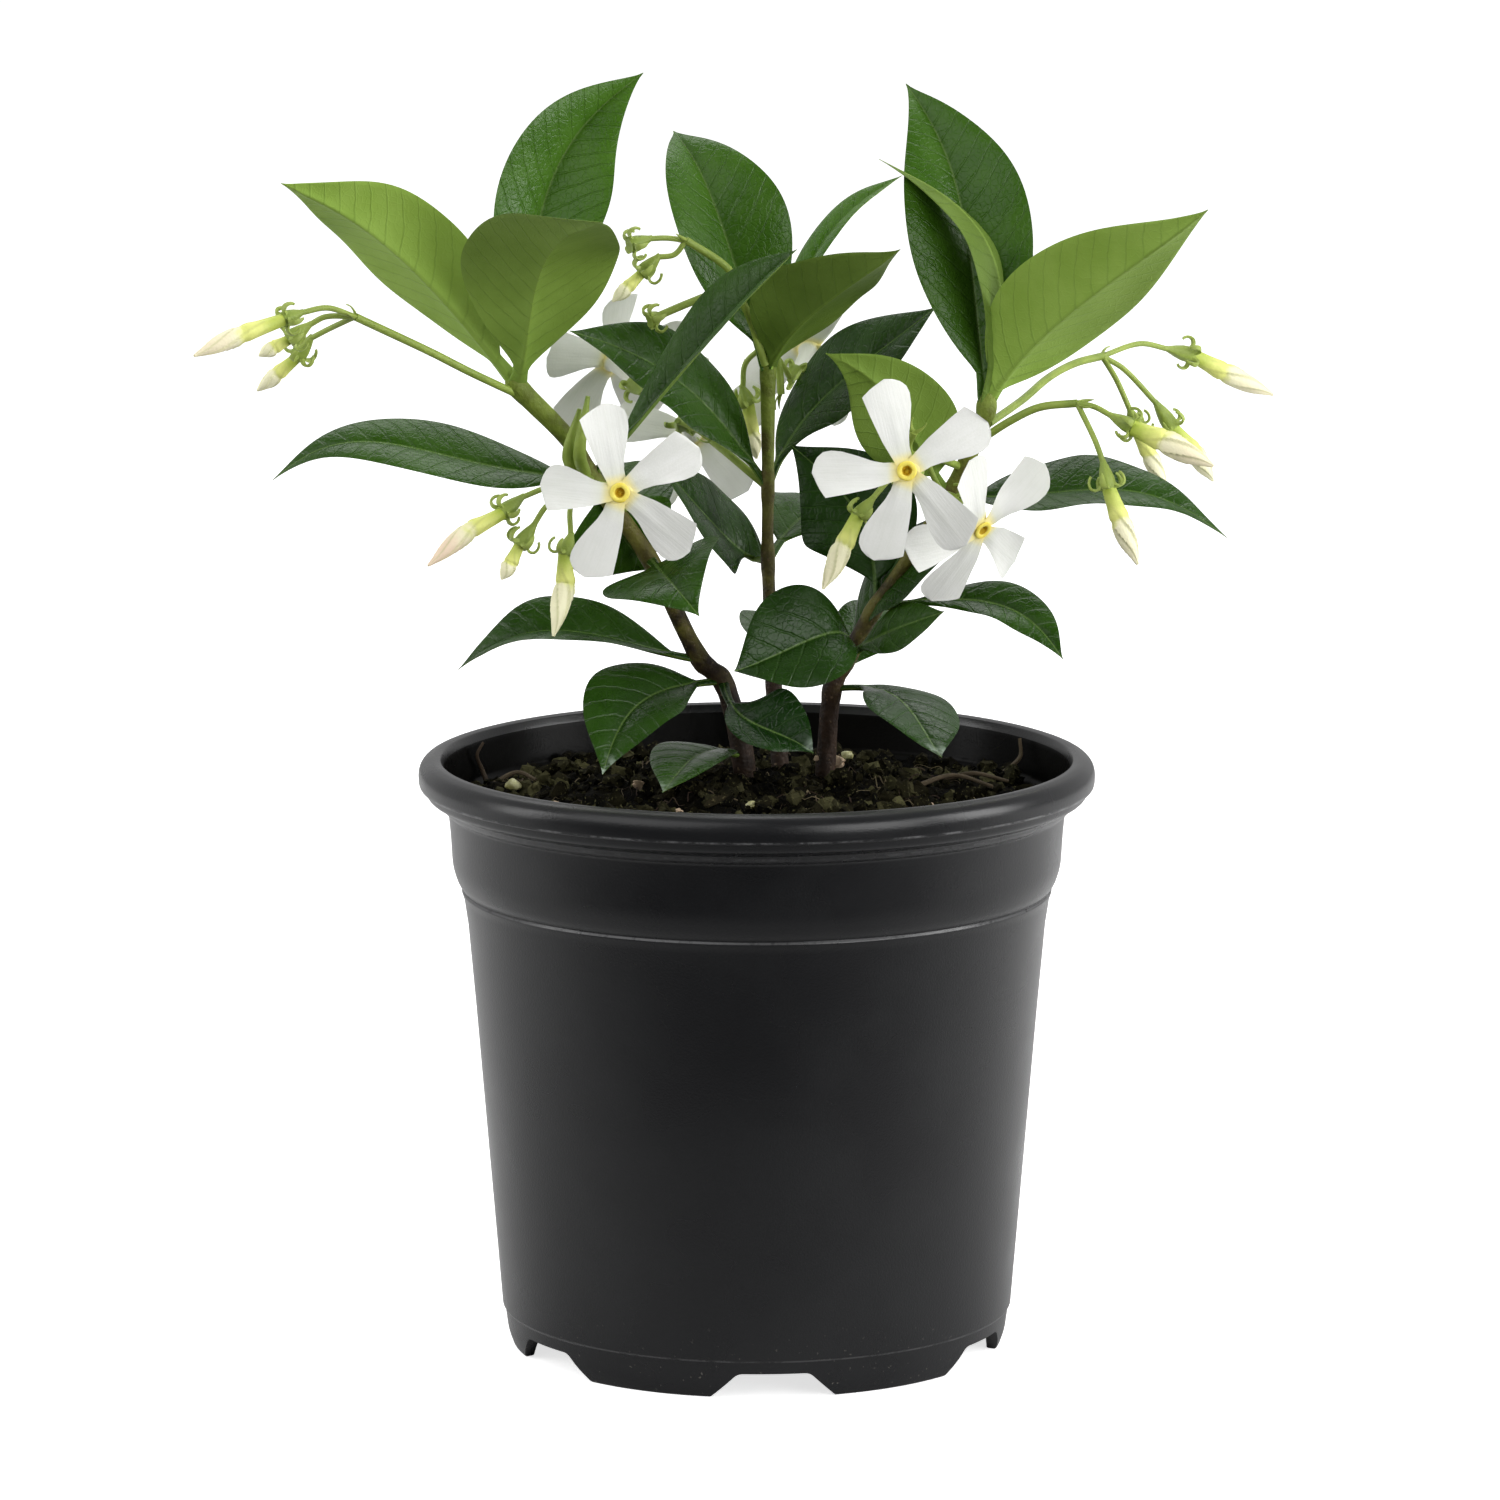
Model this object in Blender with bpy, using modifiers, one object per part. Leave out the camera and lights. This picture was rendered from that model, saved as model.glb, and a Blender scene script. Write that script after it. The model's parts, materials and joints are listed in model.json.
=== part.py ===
# Star jasmine in a 12 cm nursery pot: a tapered black plastic pot with a thick lip, potting
# mix, three woody stems with leathery leaves, and loose sprays of pinwheel flowers and buds.
# Every size and place below is in millimetres. The origin is on the pot's axis, in the plane
# that the pot stands on; +Z is up and +Y points away from the viewer.

import math

import bpy
import bmesh
from mathutils import Matrix
from mathutils import Vector

MM = 0.001
CLEARANCE = 0.3
BUD_CLEARANCE = 0.55
ROOT_DEPTH = 0.6
MERGE_DISTANCE = 1e-7
TURNED_MERGE_DISTANCE = 5e-5
SHARP_ANGLE = 40

# Pot
RIM_RADIUS = 60.0
POT_HEIGHT = 106.0
FOOT_RADIUS = 43.6
FLOOR_UNDERSIDE = 5.4
FLOOR_TOP = 6.8
POT_STEPS = 40
NOTCH_COUNT = 6
NOTCH_HEIGHT = 4.6
NOTCH_BOTTOM_WIDTH = 22.0
NOTCH_TOP_WIDTH = 12.6
NOTCH_TURN = 3.8
NOTCH_DEPTH = 10.0
DRAIN_HOLE_RADIUS = 4.5
DRAIN_HOLE_CIRCLE = 31.0
CUTTER_SIDES = 12
CUTTER_OVERRUN = 1.0

# Potting mix
MIX_EDGE_HEIGHT = 97.6
MIX_MOUND_HEIGHT = 101.6
MIX_STEPS = 24
STEM_HOLE_CLEARANCE = 0.5
STEM_HOLE_LENGTH = 20.0

# Leaves
BLADE_THICKNESS = 0.7
PETIOLE_LENGTH = 5.0
LEAF_HALF_WIDTH_LEAST = 0.4
LEAF_ROWS = (0.0, 0.14, 0.32, 0.52, 0.72, 0.89, 1.0)
BROAD_LEAF_WIDTH = 21.5
LEAF_SWELL = 0.05
TANGENT_STEP = 0.01

# Sprays, buds and flowers
STALK_RADIUS = 0.7
PEDICEL_RADIUS = 0.5
CALYX_RADIUS = 1.25
SEPAL_COUNT = 5
SEPAL_REACH = 2.9
SEPAL_ROOT = 1.1
SEPAL_DROOP = 0.4
BUD_SHAPE = (0.26, 0.30, 0.50, 0.38, 0.10)
THROAT_SHAPE = ((-7.5, 1.0), (-3.0, 1.3), (-0.8, 1.8), (0.2, 2.9))
PETAL_TWIST = 14.0
PETAL_RECURVE = 1.4
EYE_RADIUS = 1.3
EYE_THICKNESS = 0.5
EYE_HEIGHT = 1.0

# Joints of the stems, where leaves and sprays grow
JOINTS = {
    "left_collar": (-2.5, 10, 104),
    "left_low": (-6, 8, 118),
    "left_node": (-10, 7, 122),
    "left_mid": (-19, 2, 141),
    "left_upper": (-29, -2, 156),
    "left_crown": (-42, -8, 173),
    "middle_low": (3, 20, 116),
    "middle_mid": (2, 20, 138),
    "middle_upper": (2, 21, 151),
    "middle_crown": (2, 22, 172),
    "right_low": (13.5, 12, 116),
    "right_node": (16, 11, 121.5),
    "right_mid": (21, 9, 131),
    "right_upper": (34, 4, 152),
    "right_crown": (40.5, 0, 169),
}

# Each stem from its foot in the mix to its crown: place and radius
STEMS = {
    "left": (
        ((-2, 12, 90), 2.4),
        ((-2.5, 10, 104), 2.3),
        ((-6, 8, 118), 2.2),
        ((-10, 7, 122), 2.1),
        ((-19, 2, 141), 1.9),
        ((-29, -2, 156), 1.8),
        ((-33, -4, 163), 1.6),
        ((-42, -8, 173), 1.8),
        ((-43.3, -8.6, 174.8), 1.0),
    ),
    "middle": (
        ((5, 20, 90), 2.0),
        ((4, 20, 104), 1.9),
        ((3, 20, 116), 1.8),
        ((2, 20, 138), 1.6),
        ((2, 21, 151), 1.6),
        ((2, 22, 172), 1.7),
        ((2, 22.2, 174.2), 0.9),
    ),
    "right": (
        ((11.5, 14, 90), 2.4),
        ((12.5, 13, 104), 2.3),
        ((13.5, 12, 116), 2.2),
        ((16, 11, 121.5), 2.1),
        ((21, 9, 131), 2.0),
        ((25.5, 7, 138), 1.9),
        ((34, 4, 152), 1.8),
        ((40, 0, 166), 1.7),
        ((40.5, 0, 169), 1.8),
        ((40.7, 0, 171.2), 1.0),
    ),
}

# Leaves of each stem: joint, reach to the tip, bow of the midrib, width, the way the upper
# side faces, fold along the midrib in degrees, widest point and crest of the bow
LEAVES = {
    "left": (
        ("left_crown", (-40, -14, 37), (-1, 1, 6), 22, (0.2, 0.8, 0.5), 24, 0.40, 0.50),
        ("left_crown", (16, -48, 34), (-4, 10, 4), 28, (0.0, 0.6, 0.8), 15, 0.49, 0.60),
        ("left_crown", (22, 20, 53), (-6, 0, 6), 23, (0.3, -0.9, 0.25), 30, 0.45, 0.55),
        ("left_upper", (-56, -3, 0), (-1, -3, 7), 16, (0.0, -0.5, 0.9), 6, 0.40, 0.70),
        ("left_upper", (36, -6, 41), (4, 1, 6), 15, (-0.76, -0.38, 0.52), 26, 0.48, 0.50),
        ("left_upper", (10, 10, -18), (-1, -1, 0), 21, (0.3, -0.9, -0.3), 5, 0.45, 0.50),
        ("left_mid", (9, -27, -6), (-2, -3, 3), 23, (-0.4, -0.3, 0.9), 13, 0.42, 0.70),
        ("left_mid", (-8, 32, 12), (0, 2, 4), 17, (0.0, -0.4, 0.9), 12, 0.43, 0.50),
        ("left_node", (-43, -5, -1), (-2, -5, 7), 16, (0.0, -0.4, 0.9), 24, 0.41, 0.58),
        ("left_low", (-21, -27, -12), (-4, 2, 4), 19, (0.1, -0.4, 0.9), 19, 0.45, 0.50),
        ("left_low", (16, -17, -10), (-2, -6, -1), 16, (-0.1, -0.6, 0.8), 26, 0.50, 0.33),
        ("left_collar", (-14, -30, -1), (-1, 2, 3), 15, (0.0, -0.1, 1.0), 10, 0.46, 0.46),
    ),
    "middle": (
        ("middle_crown", (-17, 18, 41), (0, -6, 6), 24, (0.3, -0.8, 0.5), 25, 0.41, 0.59),
        ("middle_crown", (23, -30, 25), (-4, 3, -1), 22, (0.0, 0.6, 0.8), 29, 0.44, 0.46),
        ("middle_crown", (24, 8, 34), (-2, 3, 5), 10, (-0.7, -0.3, 0.6), 12, 0.47, 0.50),
        ("middle_upper", (-35, -15, 30), (2, 5, 4), 19, (0.7, -0.5, 0.5), 8, 0.44, 0.50),
        ("middle_upper", (30, 4, 32), (-4, 6, 0), 21, (-0.6, -0.5, 0.6), 7, 0.54, 0.42),
        ("middle_mid", (-21, -13, 21), (2, 9, -6), 18, (0.8, -0.4, 0.5), 8, 0.38, 0.40),
        ("middle_mid", (14, 26, 4), (0, 2, 4), 17, (0.0, -0.4, 0.9), 12, 0.43, 0.50),
        ("middle_low", (4, 28, 6), (0, 2, 4), 17, (0.0, -0.4, 0.9), 12, 0.43, 0.50),
    ),
    "right": (
        ("right_crown", (-14, 24, 54), (3, -2, 5), 24, (0.1, -0.9, 0.4), 22, 0.41, 0.57),
        ("right_crown", (37, -27, 37), (-4, 5, -1), 24, (0.1, 0.8, 0.6), 28, 0.42, 0.42),
        ("right_crown", (-19, 10, 42), (10, -4, 5), 10, (-0.8, 0.4, -0.5), 11, 0.41, 0.52),
        ("right_upper", (-22, -14, 27), (2, -1, 3), 18, (-0.1, 0.9, 0.4), 4, 0.33, 0.62),
        ("right_upper", (49, -4, -7), (0, -3, 6), 18, (0.1, -0.4, 0.9), 13, 0.37, 0.66),
        ("right_mid", (33, -13, -7), (5, 1, 5), 11, (0.0, -0.5, 0.9), 13, 0.49, 0.50),
        ("right_mid", (-15, 10, 28), (5, 1, 1), 22, (-0.1, -1.0, 0.3), 10, 0.45, 0.50),
        ("right_node", (17, -15, 11), (-1, -2, 1), 10, (-0.7, -0.5, 0.5), 3, 0.49, 0.42),
        ("right_node", (25, -12, 27), (-4, 5, 2), 18, (-0.8, -0.35, 0.55), 3, 0.47, 0.48),
        ("right_node", (-20, -19, 1), (5, -3, 6), 21, (0.5, -0.5, 0.6), 19, 0.49, 0.37),
        ("right_low", (19, -25, -8), (3, 4, 3), 18, (0.2, -0.1, 1.0), 5, 0.49, 0.42),
        ("right_low", (16, 24, 9), (0, 2, 4), 16, (0.0, -0.4, 0.9), 12, 0.43, 0.50),
    ),
}

# Sprays: stalks as routes from the stem outwards, and calyces as the place where the pedicel
# ends and the place where the bud or flower comes out
SPRAYS = {
    "far_left": {
        "stalks": (
            ((-43.9, -10, 172.8), (-50, -15.5, 176.5), (-56.5, -20, 180.5), (-69, -31, 188)),
        ),
        "pedicels": (
            ((-69, -31, 188), (-73.5, -35, 190), (-78, -38, 189.5)),
            ((-69, -31, 188), (-74, -31, 188), (-77, -31, 186.5)),
            ((-69, -31, 188), (-73.5, -27, 185.5), (-77, -25, 183.5)),
        ),
        "calyces": (
            ((-78, -38, 189.5), (-81, -40, 188.5)),
            ((-77, -31, 186.5), (-80.5, -31.5, 184)),
            ((-77, -25, 183.5), (-79.5, -24, 180)),
        ),
    },
    "left": {
        "stalks": (
            ((-29.4, -4.4, 156), (-30, -9, 156)),
            ((-30, -9, 156), (-33, -9, 160.5), (-31, -8, 169)),
            ((-30, -9, 156), (-30.5, -11, 160.5), (-29.5, -10, 171.5)),
        ),
        "pedicels": (
            ((-30, -9, 156), (-36, -13, 156), (-41, -16, 154.5)),
            ((-30, -9, 156), (-36.5, -15, 153), (-39, -16, 149.5)),
            ((-30, -9, 156), (-32.5, -13, 152.5), (-32.5, -14, 147.5)),
            ((-30, -9, 156), (-26, -12, 156), (-23.7, -15.9, 154.9)),
        ),
        "calyces": (
            ((-41, -16, 154.5), (-44.5, -19, 152)),
            ((-39, -16, 149.5), (-41.5, -17, 146)),
            ((-32.5, -14, 147.5), (-33.5, -15, 144)),
            ((-23.7, -15.9, 154.9), (-23.7, -19.3, 155.5)),
        ),
    },
    "top": {
        "stalks": (
            ((0.9, 19.9, 175), (-0.8, 19, 180.5), (-3, 16, 186), (-5, 14, 191), (-12.5, 11, 196.5)),
            ((-3, 16, 186), (-7.5, 14.5, 186.5), (-12, 14, 185), (-17, 13, 183)),
        ),
        "pedicels": (
            ((-12.5, 11, 196.5), (-16, 10, 197), (-19, 9, 197)),
            ((-12.5, 11, 196.5), (-14.5, 11, 194), (-17.5, 11, 193.5)),
        ),
        "calyces": (
            ((-19, 9, 197), (-22.5, 7, 196)),
            ((-17.5, 11, 193.5), (-20.5, 10.5, 190.5)),
            ((-17, 13, 183), (-19, 12, 182)),
        ),
    },
    "far_right": {
        "stalks": (
            ((42, 1.1, 166), (47, 8, 168.5), (52, 16, 171.5), (57, 24, 173), (62, 30, 173.5)),
        ),
        "pedicels": (
            ((62, 30, 173.5), (69, 36, 175), (74.5, 40, 173.5)),
            ((62, 30, 173.5), (66, 31, 171), (72, 33, 164.5)),
            ((62, 30, 173.5), (64.5, 28, 169.5), (67, 27, 164)),
        ),
        "calyces": (
            ((74.5, 40, 173.5), (79, 43, 172)),
            ((72, 33, 164.5), (75, 34, 160)),
            ((67, 27, 164), (68, 26.5, 161)),
        ),
    },
    "right": {
        "stalks": (
            ((40.5, -1.8, 163.4), (44.5, -5, 166.5), (49.5, -6, 169), (56, -8, 170)),
        ),
        "pedicels": (
            ((56, -8, 170), (59, -9, 169.5), (62, -10, 168)),
            ((56, -8, 170), (59, -11, 164), (60.5, -12, 160)),
        ),
        "calyces": (
            ((62, -10, 168), (66, -12, 166)),
            ((60.5, -12, 160), (61.5, -13, 155.5)),
        ),
    },
    "inner_right": {
        "stalks": (
            ((34.4, 0.4, 158.2), (32, -2.5, 159.5), (29.5, -5, 160.5)),
            ((29.5, -5, 160.5), (27, -8, 161), (26.5, -10, 163), (27.5, -12, 165.5)),
        ),
        "pedicels": (
            ((29.5, -5, 160.5), (27.5, -11, 159.5), (25.9, -15.9, 158.7)),
            ((29.5, -5, 160.5), (31, -4, 156.5), (32.7, -2.4, 153.3)),
            ((29.5, -5, 160.5), (24, -9, 157.5), (20, -12, 153.5)),
        ),
        "calyces": (
            ((25.9, -15.9, 158.7), (25.9, -19.3, 159.3)),
            ((32.7, -2.4, 153.3), (34.8, -4.8, 151.7)),
            ((20, -12, 153.5), (17.5, -13, 150.5)),
        ),
    },
    "back_left": {
        "stalks": (
            ((0.7, 23.1, 151.7), (-4, 25, 155.5), (-8, 27.5, 158.5)),
        ),
        "pedicels": (
            ((-8, 27.5, 158.5), (-11, 28.5, 160.5), (-14.1, 29.7, 161.7)),
            ((-8, 27.5, 158.5), (-12, 33, 164.5), (-21, 35.2, 166.3)),
        ),
        "calyces": (
            ((-14.1, 29.7, 161.7), (-13.3, 33, 160.6)),
            ((-21, 35.2, 166.3), (-22.6, 38, 167.7)),
        ),
    },
    "back_right": {
        "stalks": (
            ((1.9, 24.2, 172.8), (1.5, 27, 174.5), (1.5, 30, 175.5)),
            ((1.5, 30, 175.5), (3.8, 31, 172), (4.4, 31, 166.5)),
        ),
        "pedicels": (
            ((1.5, 30, 175.5), (-2, 31.5, 172), (-2.5, 32, 167.5)),
            ((1.5, 30, 175.5), (4, 33, 172.5), (6.1, 36.1, 168.6)),
        ),
        "calyces": (
            ((-2.5, 32, 167.5), (-1.5, 32.5, 164.5)),
            ((6.1, 36.1, 168.6), (7.1, 39.1, 169.8)),
        ),
    },
}

# Closed buds: the calyx's mouth, the middle, the tip and the greatest thickness
BUDS = {
    "far_left_1": ((-81, -40, 188.5), (-88, -44.5, 186.5), (-95.5, -49, 183.5), 3.6),
    "far_left_2": ((-80.5, -31.5, 184), (-83, -32.3, 182.8), (-85.5, -33, 181.5), 2.8),
    "far_left_3": ((-79.5, -24, 180), (-83, -23, 177), (-86.5, -22, 174), 3.0),
    "left_1": ((-44.5, -19, 152), (-50, -22, 149.5), (-57, -26, 144), 3.6),
    "left_2": ((-41.5, -17, 146), (-43, -18, 143), (-44.5, -19, 140.5), 3.0),
    "left_3": ((-33.5, -15, 144), (-33.5, -16, 139), (-35.5, -19, 130.5), 4.0),
    "top_1": ((-20.5, 10.5, 190.5), (-23, 9, 188.2), (-25.5, 8, 186), 2.8),
    "far_right_1": ((79, 43, 172), (85, 46, 168.5), (94, 49, 164), 4.0),
    "far_right_2": ((75, 34, 160), (79, 35, 155.5), (82.5, 36, 150), 3.6),
    "far_right_3": ((68, 26.5, 161), (70.5, 26, 156), (73.5, 26, 150), 3.4),
    "right_1": ((66, -12, 166), (71, -13, 164), (79.5, -16, 160), 4.6),
    "right_2": ((61.5, -13, 155.5), (63.5, -14, 150), (66.5, -15, 142.5), 4.0),
    "inner_right_1": ((17.5, -13, 150.5), (15, -15, 145.5), (11.5, -17, 138.5), 4.0),
    "back_right_1": ((-1.5, 32.5, 164.5), (-1, 33, 159), (0, 33, 154.5), 3.6),
}

# Open flowers: the middle, the way it faces, the petals' turns in degrees and petal length
FLOWERS = {
    "left": ((-23.7, -27, 156.9), (0, -0.985, 0.174), (101, 30, -40, -113, 174), 15.8),
    "inner_right_1": ((25.9, -27, 160.7), (0, -0.985, 0.174), (104, 31, -51, -110, -179), 16.4),
    "inner_right_2": ((39.3, -10, 148.1), (0.58, -0.67, -0.46), (45, 118, 190, 255, -36), 16.2),
    "back_left_1": ((-11.6, 40.3, 158.2), (0.22, 0.93, -0.30), (7, 79, 151, 223, 295), 15.5),
    "back_left_2": ((-26.1, 44.2, 170.8), (-0.45, 0.80, 0.40), (10, 82, 154, 226, 298), 15.0),
    "back_right": ((9.5, 46.0, 172.5), (0.30, 0.88, 0.35), (40, 112, 184, 256, 328), 15.0),
}

# Half-widths of a petal from its root to its tip: share of the length, sharp-cornered side
# and rounded side
PETAL_OUTLINE = (
    (0.06, 1.7, 1.3),
    (0.36, 3.2, 1.8),
    (0.68, 4.2, 3.7),
    (0.87, 4.6, 3.8),
    (1.00, 0.3, 1.1),
)


def clear_scene():
    """Remove every object that the file already holds."""
    for thing in list(bpy.data.objects):
        bpy.data.objects.remove(thing, do_unlink=True)


def new_collection(name):
    """Add a collection to the scene."""
    made = bpy.data.collections.new(name)
    bpy.context.scene.collection.children.link(made)
    return made


def material(name, colour, roughness):
    """A plain, non-metallic surface."""
    made = bpy.data.materials.new(name)
    made.use_nodes = True
    surface = made.node_tree.nodes["Principled BSDF"]
    surface.inputs["Base Color"].default_value = (*colour, 1.0)
    surface.inputs["Roughness"].default_value = roughness
    surface.inputs["Metallic"].default_value = 0.0
    return made


def metres(place):
    """A place in millimetres as a vector in metres."""
    return Vector(place) * MM


def add_object(name, mesh, home):
    """Put a mesh in a collection as a new object."""
    made = bpy.data.objects.new(name, mesh)
    home.objects.link(made)
    return made


def baked(source, home):
    """Replace an object by a plain mesh of its evaluated shape."""
    bpy.context.view_layer.update()
    graph = bpy.context.evaluated_depsgraph_get()
    mesh = bpy.data.meshes.new_from_object(source.evaluated_get(graph))
    cleaned = bmesh.new()
    cleaned.from_mesh(mesh)
    bmesh.ops.remove_doubles(cleaned, verts=cleaned.verts, dist=MERGE_DISTANCE)
    bmesh.ops.recalc_face_normals(cleaned, faces=cleaned.faces)
    cleaned.to_mesh(mesh)
    cleaned.free()
    name = source.name
    place = source.matrix_world.copy()
    bpy.data.objects.remove(source, do_unlink=True)
    made = add_object(name, mesh, home)
    made.matrix_world = place
    return made


def tube(name, points, home, level=1, steps=1, straight_foot=False):
    """A round bar through points given as (place, radius), with closed ends."""
    curve = bpy.data.curves.new(name, "CURVE")
    curve.dimensions = "3D"
    curve.bevel_depth = MM
    curve.bevel_resolution = level
    curve.use_fill_caps = True
    curve.resolution_u = steps
    spline = curve.splines.new("BEZIER")
    spline.bezier_points.add(len(points) - 1)
    for knot, (place, radius) in zip(spline.bezier_points, points):
        knot.co = metres(place)
        knot.radius = radius
        knot.handle_left_type = "AUTO"
        knot.handle_right_type = "AUTO"
    if straight_foot:
        spline.bezier_points[0].handle_right_type = "VECTOR"
        spline.bezier_points[1].handle_left_type = "VECTOR"
    return baked(add_object(name, curve, home), home)


def turned(name, profile, steps, home):
    """Turn an outline of (radius, height) about the Z axis."""
    mesh = bpy.data.meshes.new(name)
    corners = [metres((radius, 0.0, height)) for radius, height in profile]
    mesh.from_pydata(corners, [(i, i + 1) for i in range(len(corners) - 1)], [])
    made = add_object(name, mesh, home)
    screw = made.modifiers.new("turn", "SCREW")
    screw.axis = "Z"
    screw.steps = steps
    screw.render_steps = steps
    screw.use_merge_vertices = True
    screw.merge_threshold = TURNED_MERGE_DISTANCE
    return baked(made, home)


def blade(name, surface, rows, columns, home):
    """A thin leaf or petal: a grid over surface(u, v), thickened to both sides."""
    grid = bmesh.new()
    across = [2 * column / columns - 1 for column in range(columns + 1)]
    lines = [[grid.verts.new(surface(u, v)) for v in across] for u in rows]
    for near, far in zip(lines, lines[1:]):
        for column in range(columns):
            grid.faces.new((near[column], near[column + 1], far[column + 1], far[column]))
    bmesh.ops.triangulate(grid, faces=grid.faces)
    mesh = bpy.data.meshes.new(name)
    grid.to_mesh(mesh)
    grid.free()
    made = add_object(name, mesh, home)
    thick = made.modifiers.new("thickness", "SOLIDIFY")
    thick.thickness = BLADE_THICKNESS * MM
    thick.offset = 0.0
    thick.use_even_offset = True
    return baked(made, home)


def united(name, pieces, surface, home):
    """Join overlapping pieces into one solid."""
    first = pieces[0]
    rest = new_collection(name + "_pieces")
    for piece in pieces[1:]:
        home.objects.unlink(piece)
        rest.objects.link(piece)
    union = first.modifiers.new("union", "BOOLEAN")
    union.operation = "UNION"
    union.operand_type = "COLLECTION"
    union.collection = rest
    union.solver = "MANIFOLD"
    first.name = name
    made = baked(first, home)
    for piece in list(rest.objects):
        bpy.data.objects.remove(piece, do_unlink=True)
    bpy.data.collections.remove(rest)
    made.name = name
    finish(made, surface)
    return made


def finish(made, surface):
    """Give an object its surface, and smooth shading with its edges kept."""
    made.data.materials.clear()
    made.data.materials.append(surface)
    for face in made.data.polygons:
        face.use_smooth = True
    made.data.set_sharp_from_angle(angle=math.radians(SHARP_ANGLE))


def aligned(place, direction):
    """A frame at a place whose Z axis lies along a direction and whose X axis is level."""
    z_axis = Vector(direction).normalized()
    x_axis = Vector((0, 0, 1)).cross(z_axis)
    if x_axis.length < 0.01:
        x_axis = Vector((1, 0, 0))
    x_axis.normalize()
    y_axis = z_axis.cross(x_axis)
    frame = Matrix((x_axis, y_axis, z_axis)).transposed().to_4x4()
    frame.translation = Vector(place)
    return frame


def arch(u, crest):
    """Height of a bow at u: 0 at both ends and 1 at its crest."""
    if crest >= 0.5:
        return math.sin(math.pi * u ** (math.log(0.5) / math.log(crest)))
    return math.sin(math.pi * (1 - (1 - u) ** (math.log(0.5) / math.log(1 - crest))))


def leaf_surface(leaf):
    """The mid-surface of a leaf, as a function of u along it and v from margin to margin."""
    joint, reach, bow, width, facing, fold, widest, crest = leaf
    root = Vector(JOINTS[joint])
    stalk = PETIOLE_LENGTH / Vector(reach).length
    power = math.log(0.5) / math.log(widest)

    def midrib(u):
        return root + Vector(reach) * u + Vector(bow) * arch(u, crest)

    def surface(u, v):
        ahead = midrib(min(u + TANGENT_STEP, 1.0)) - midrib(max(u - TANGENT_STEP, 0.0))
        side = ahead.cross(Vector(facing)).normalized()
        rise = side.cross(ahead).normalized()
        s = min(max((u - stalk) / (1 - stalk), 0.0), 1.0)
        shape = max(math.sin(math.pi * s ** power), 0.0) ** (1 + 0.2 * s)
        half = max(width / 2 * shape, LEAF_HALF_WIDTH_LEAST)
        swell = 4 * LEAF_SWELL * abs(v) * (1 - abs(v))
        out = side * v * math.cos(math.radians(fold))
        lift = rise * (abs(v) * math.sin(math.radians(fold)) + swell)
        return (midrib(u) + (out + lift) * half) * MM

    rows = [0.0] + [stalk + s * (1 - stalk) for s in LEAF_ROWS]
    return surface, rows


def leafy_stem(side, surface, home):
    """A woody stem with its leaves grown on."""
    pieces = [tube(side, STEMS[side], home, level=2, steps=2, straight_foot=True)]
    for number, leaf in enumerate(LEAVES[side], start=1):
        form, rows = leaf_surface(leaf)
        columns = 4 if leaf[3] > BROAD_LEAF_WIDTH else 2
        pieces.append(blade(f"{side}_leaf_{number}", form, rows, columns, home))
    return united(f"leafy_stem_{side}", pieces, surface, home)


def calyx(name, base, mouth, home):
    """A small cup at the end of a pedicel with five pointed sepals bent back from its rim."""
    along = Vector(mouth) - Vector(base)
    length = along.length
    frame = aligned(base, along)
    root = length - SEPAL_ROOT
    between = (root + length) / 2
    rings = (
        ((PEDICEL_RADIUS, -ROOT_DEPTH), (PEDICEL_RADIUS, -ROOT_DEPTH)),
        ((0.9 * CALYX_RADIUS, 0.4 * length), (0.9 * CALYX_RADIUS, 0.4 * length)),
        ((CALYX_RADIUS, root), (CALYX_RADIUS, root)),
        ((SEPAL_REACH, root - SEPAL_DROOP), (CALYX_RADIUS, between)),
        ((CALYX_RADIUS, length), (CALYX_RADIUS, length)),
    )
    corners = 2 * SEPAL_COUNT
    cup = bmesh.new()
    loops = []
    for ring in rings:
        loop = []
        for number in range(corners):
            radius, height = ring[number % 2]
            angle = 2 * math.pi * number / corners
            place = Vector((radius * math.cos(angle), radius * math.sin(angle), height))
            loop.append(cup.verts.new((frame @ place) * MM))
        loops.append(loop)
    for low, high in zip(loops, loops[1:]):
        for number in range(corners):
            after = (number + 1) % corners
            cup.faces.new((low[number], low[after], high[after], high[number]))
    cup.faces.new(reversed(loops[0]))
    cup.faces.new(loops[-1])
    mesh = bpy.data.meshes.new(name)
    cup.to_mesh(mesh)
    cup.free()
    return add_object(name, mesh, home)


def spray(name, surface, home):
    """The green frame of a flower spray: stalks, pedicels and calyces."""
    pieces = []
    for number, route in enumerate(SPRAYS[name]["stalks"]):
        points = [(place, STALK_RADIUS) for place in route]
        pieces.append(tube(f"{name}_stalk_{number}", points, home, steps=2))
    for number, route in enumerate(SPRAYS[name]["pedicels"]):
        points = [(place, PEDICEL_RADIUS) for place in route]
        pieces.append(tube(f"{name}_pedicel_{number}", points, home, level=0, steps=2))
    for number, (base, mouth) in enumerate(SPRAYS[name]["calyces"]):
        pieces.append(calyx(f"{name}_calyx_{number}", base, mouth, home))
    return united(f"spray_{name}", pieces, surface, home)


def bud(name, surface, home):
    """A closed bud: a slim tube that swells and closes to a point."""
    mouth, middle, tip, girth = BUDS[name]
    start = Vector(mouth) + (Vector(middle) - Vector(mouth)).normalized() * BUD_CLEARANCE
    neck = start.lerp(Vector(middle), 0.5)
    shoulder = Vector(middle).lerp(Vector(tip), 0.5)
    route = (start, neck, middle, shoulder, tip)
    line = [(place, girth * share) for place, share in zip(route, BUD_SHAPE)]
    made = tube(f"bud_{name}", line, home)
    finish(made, surface)
    return made


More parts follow.
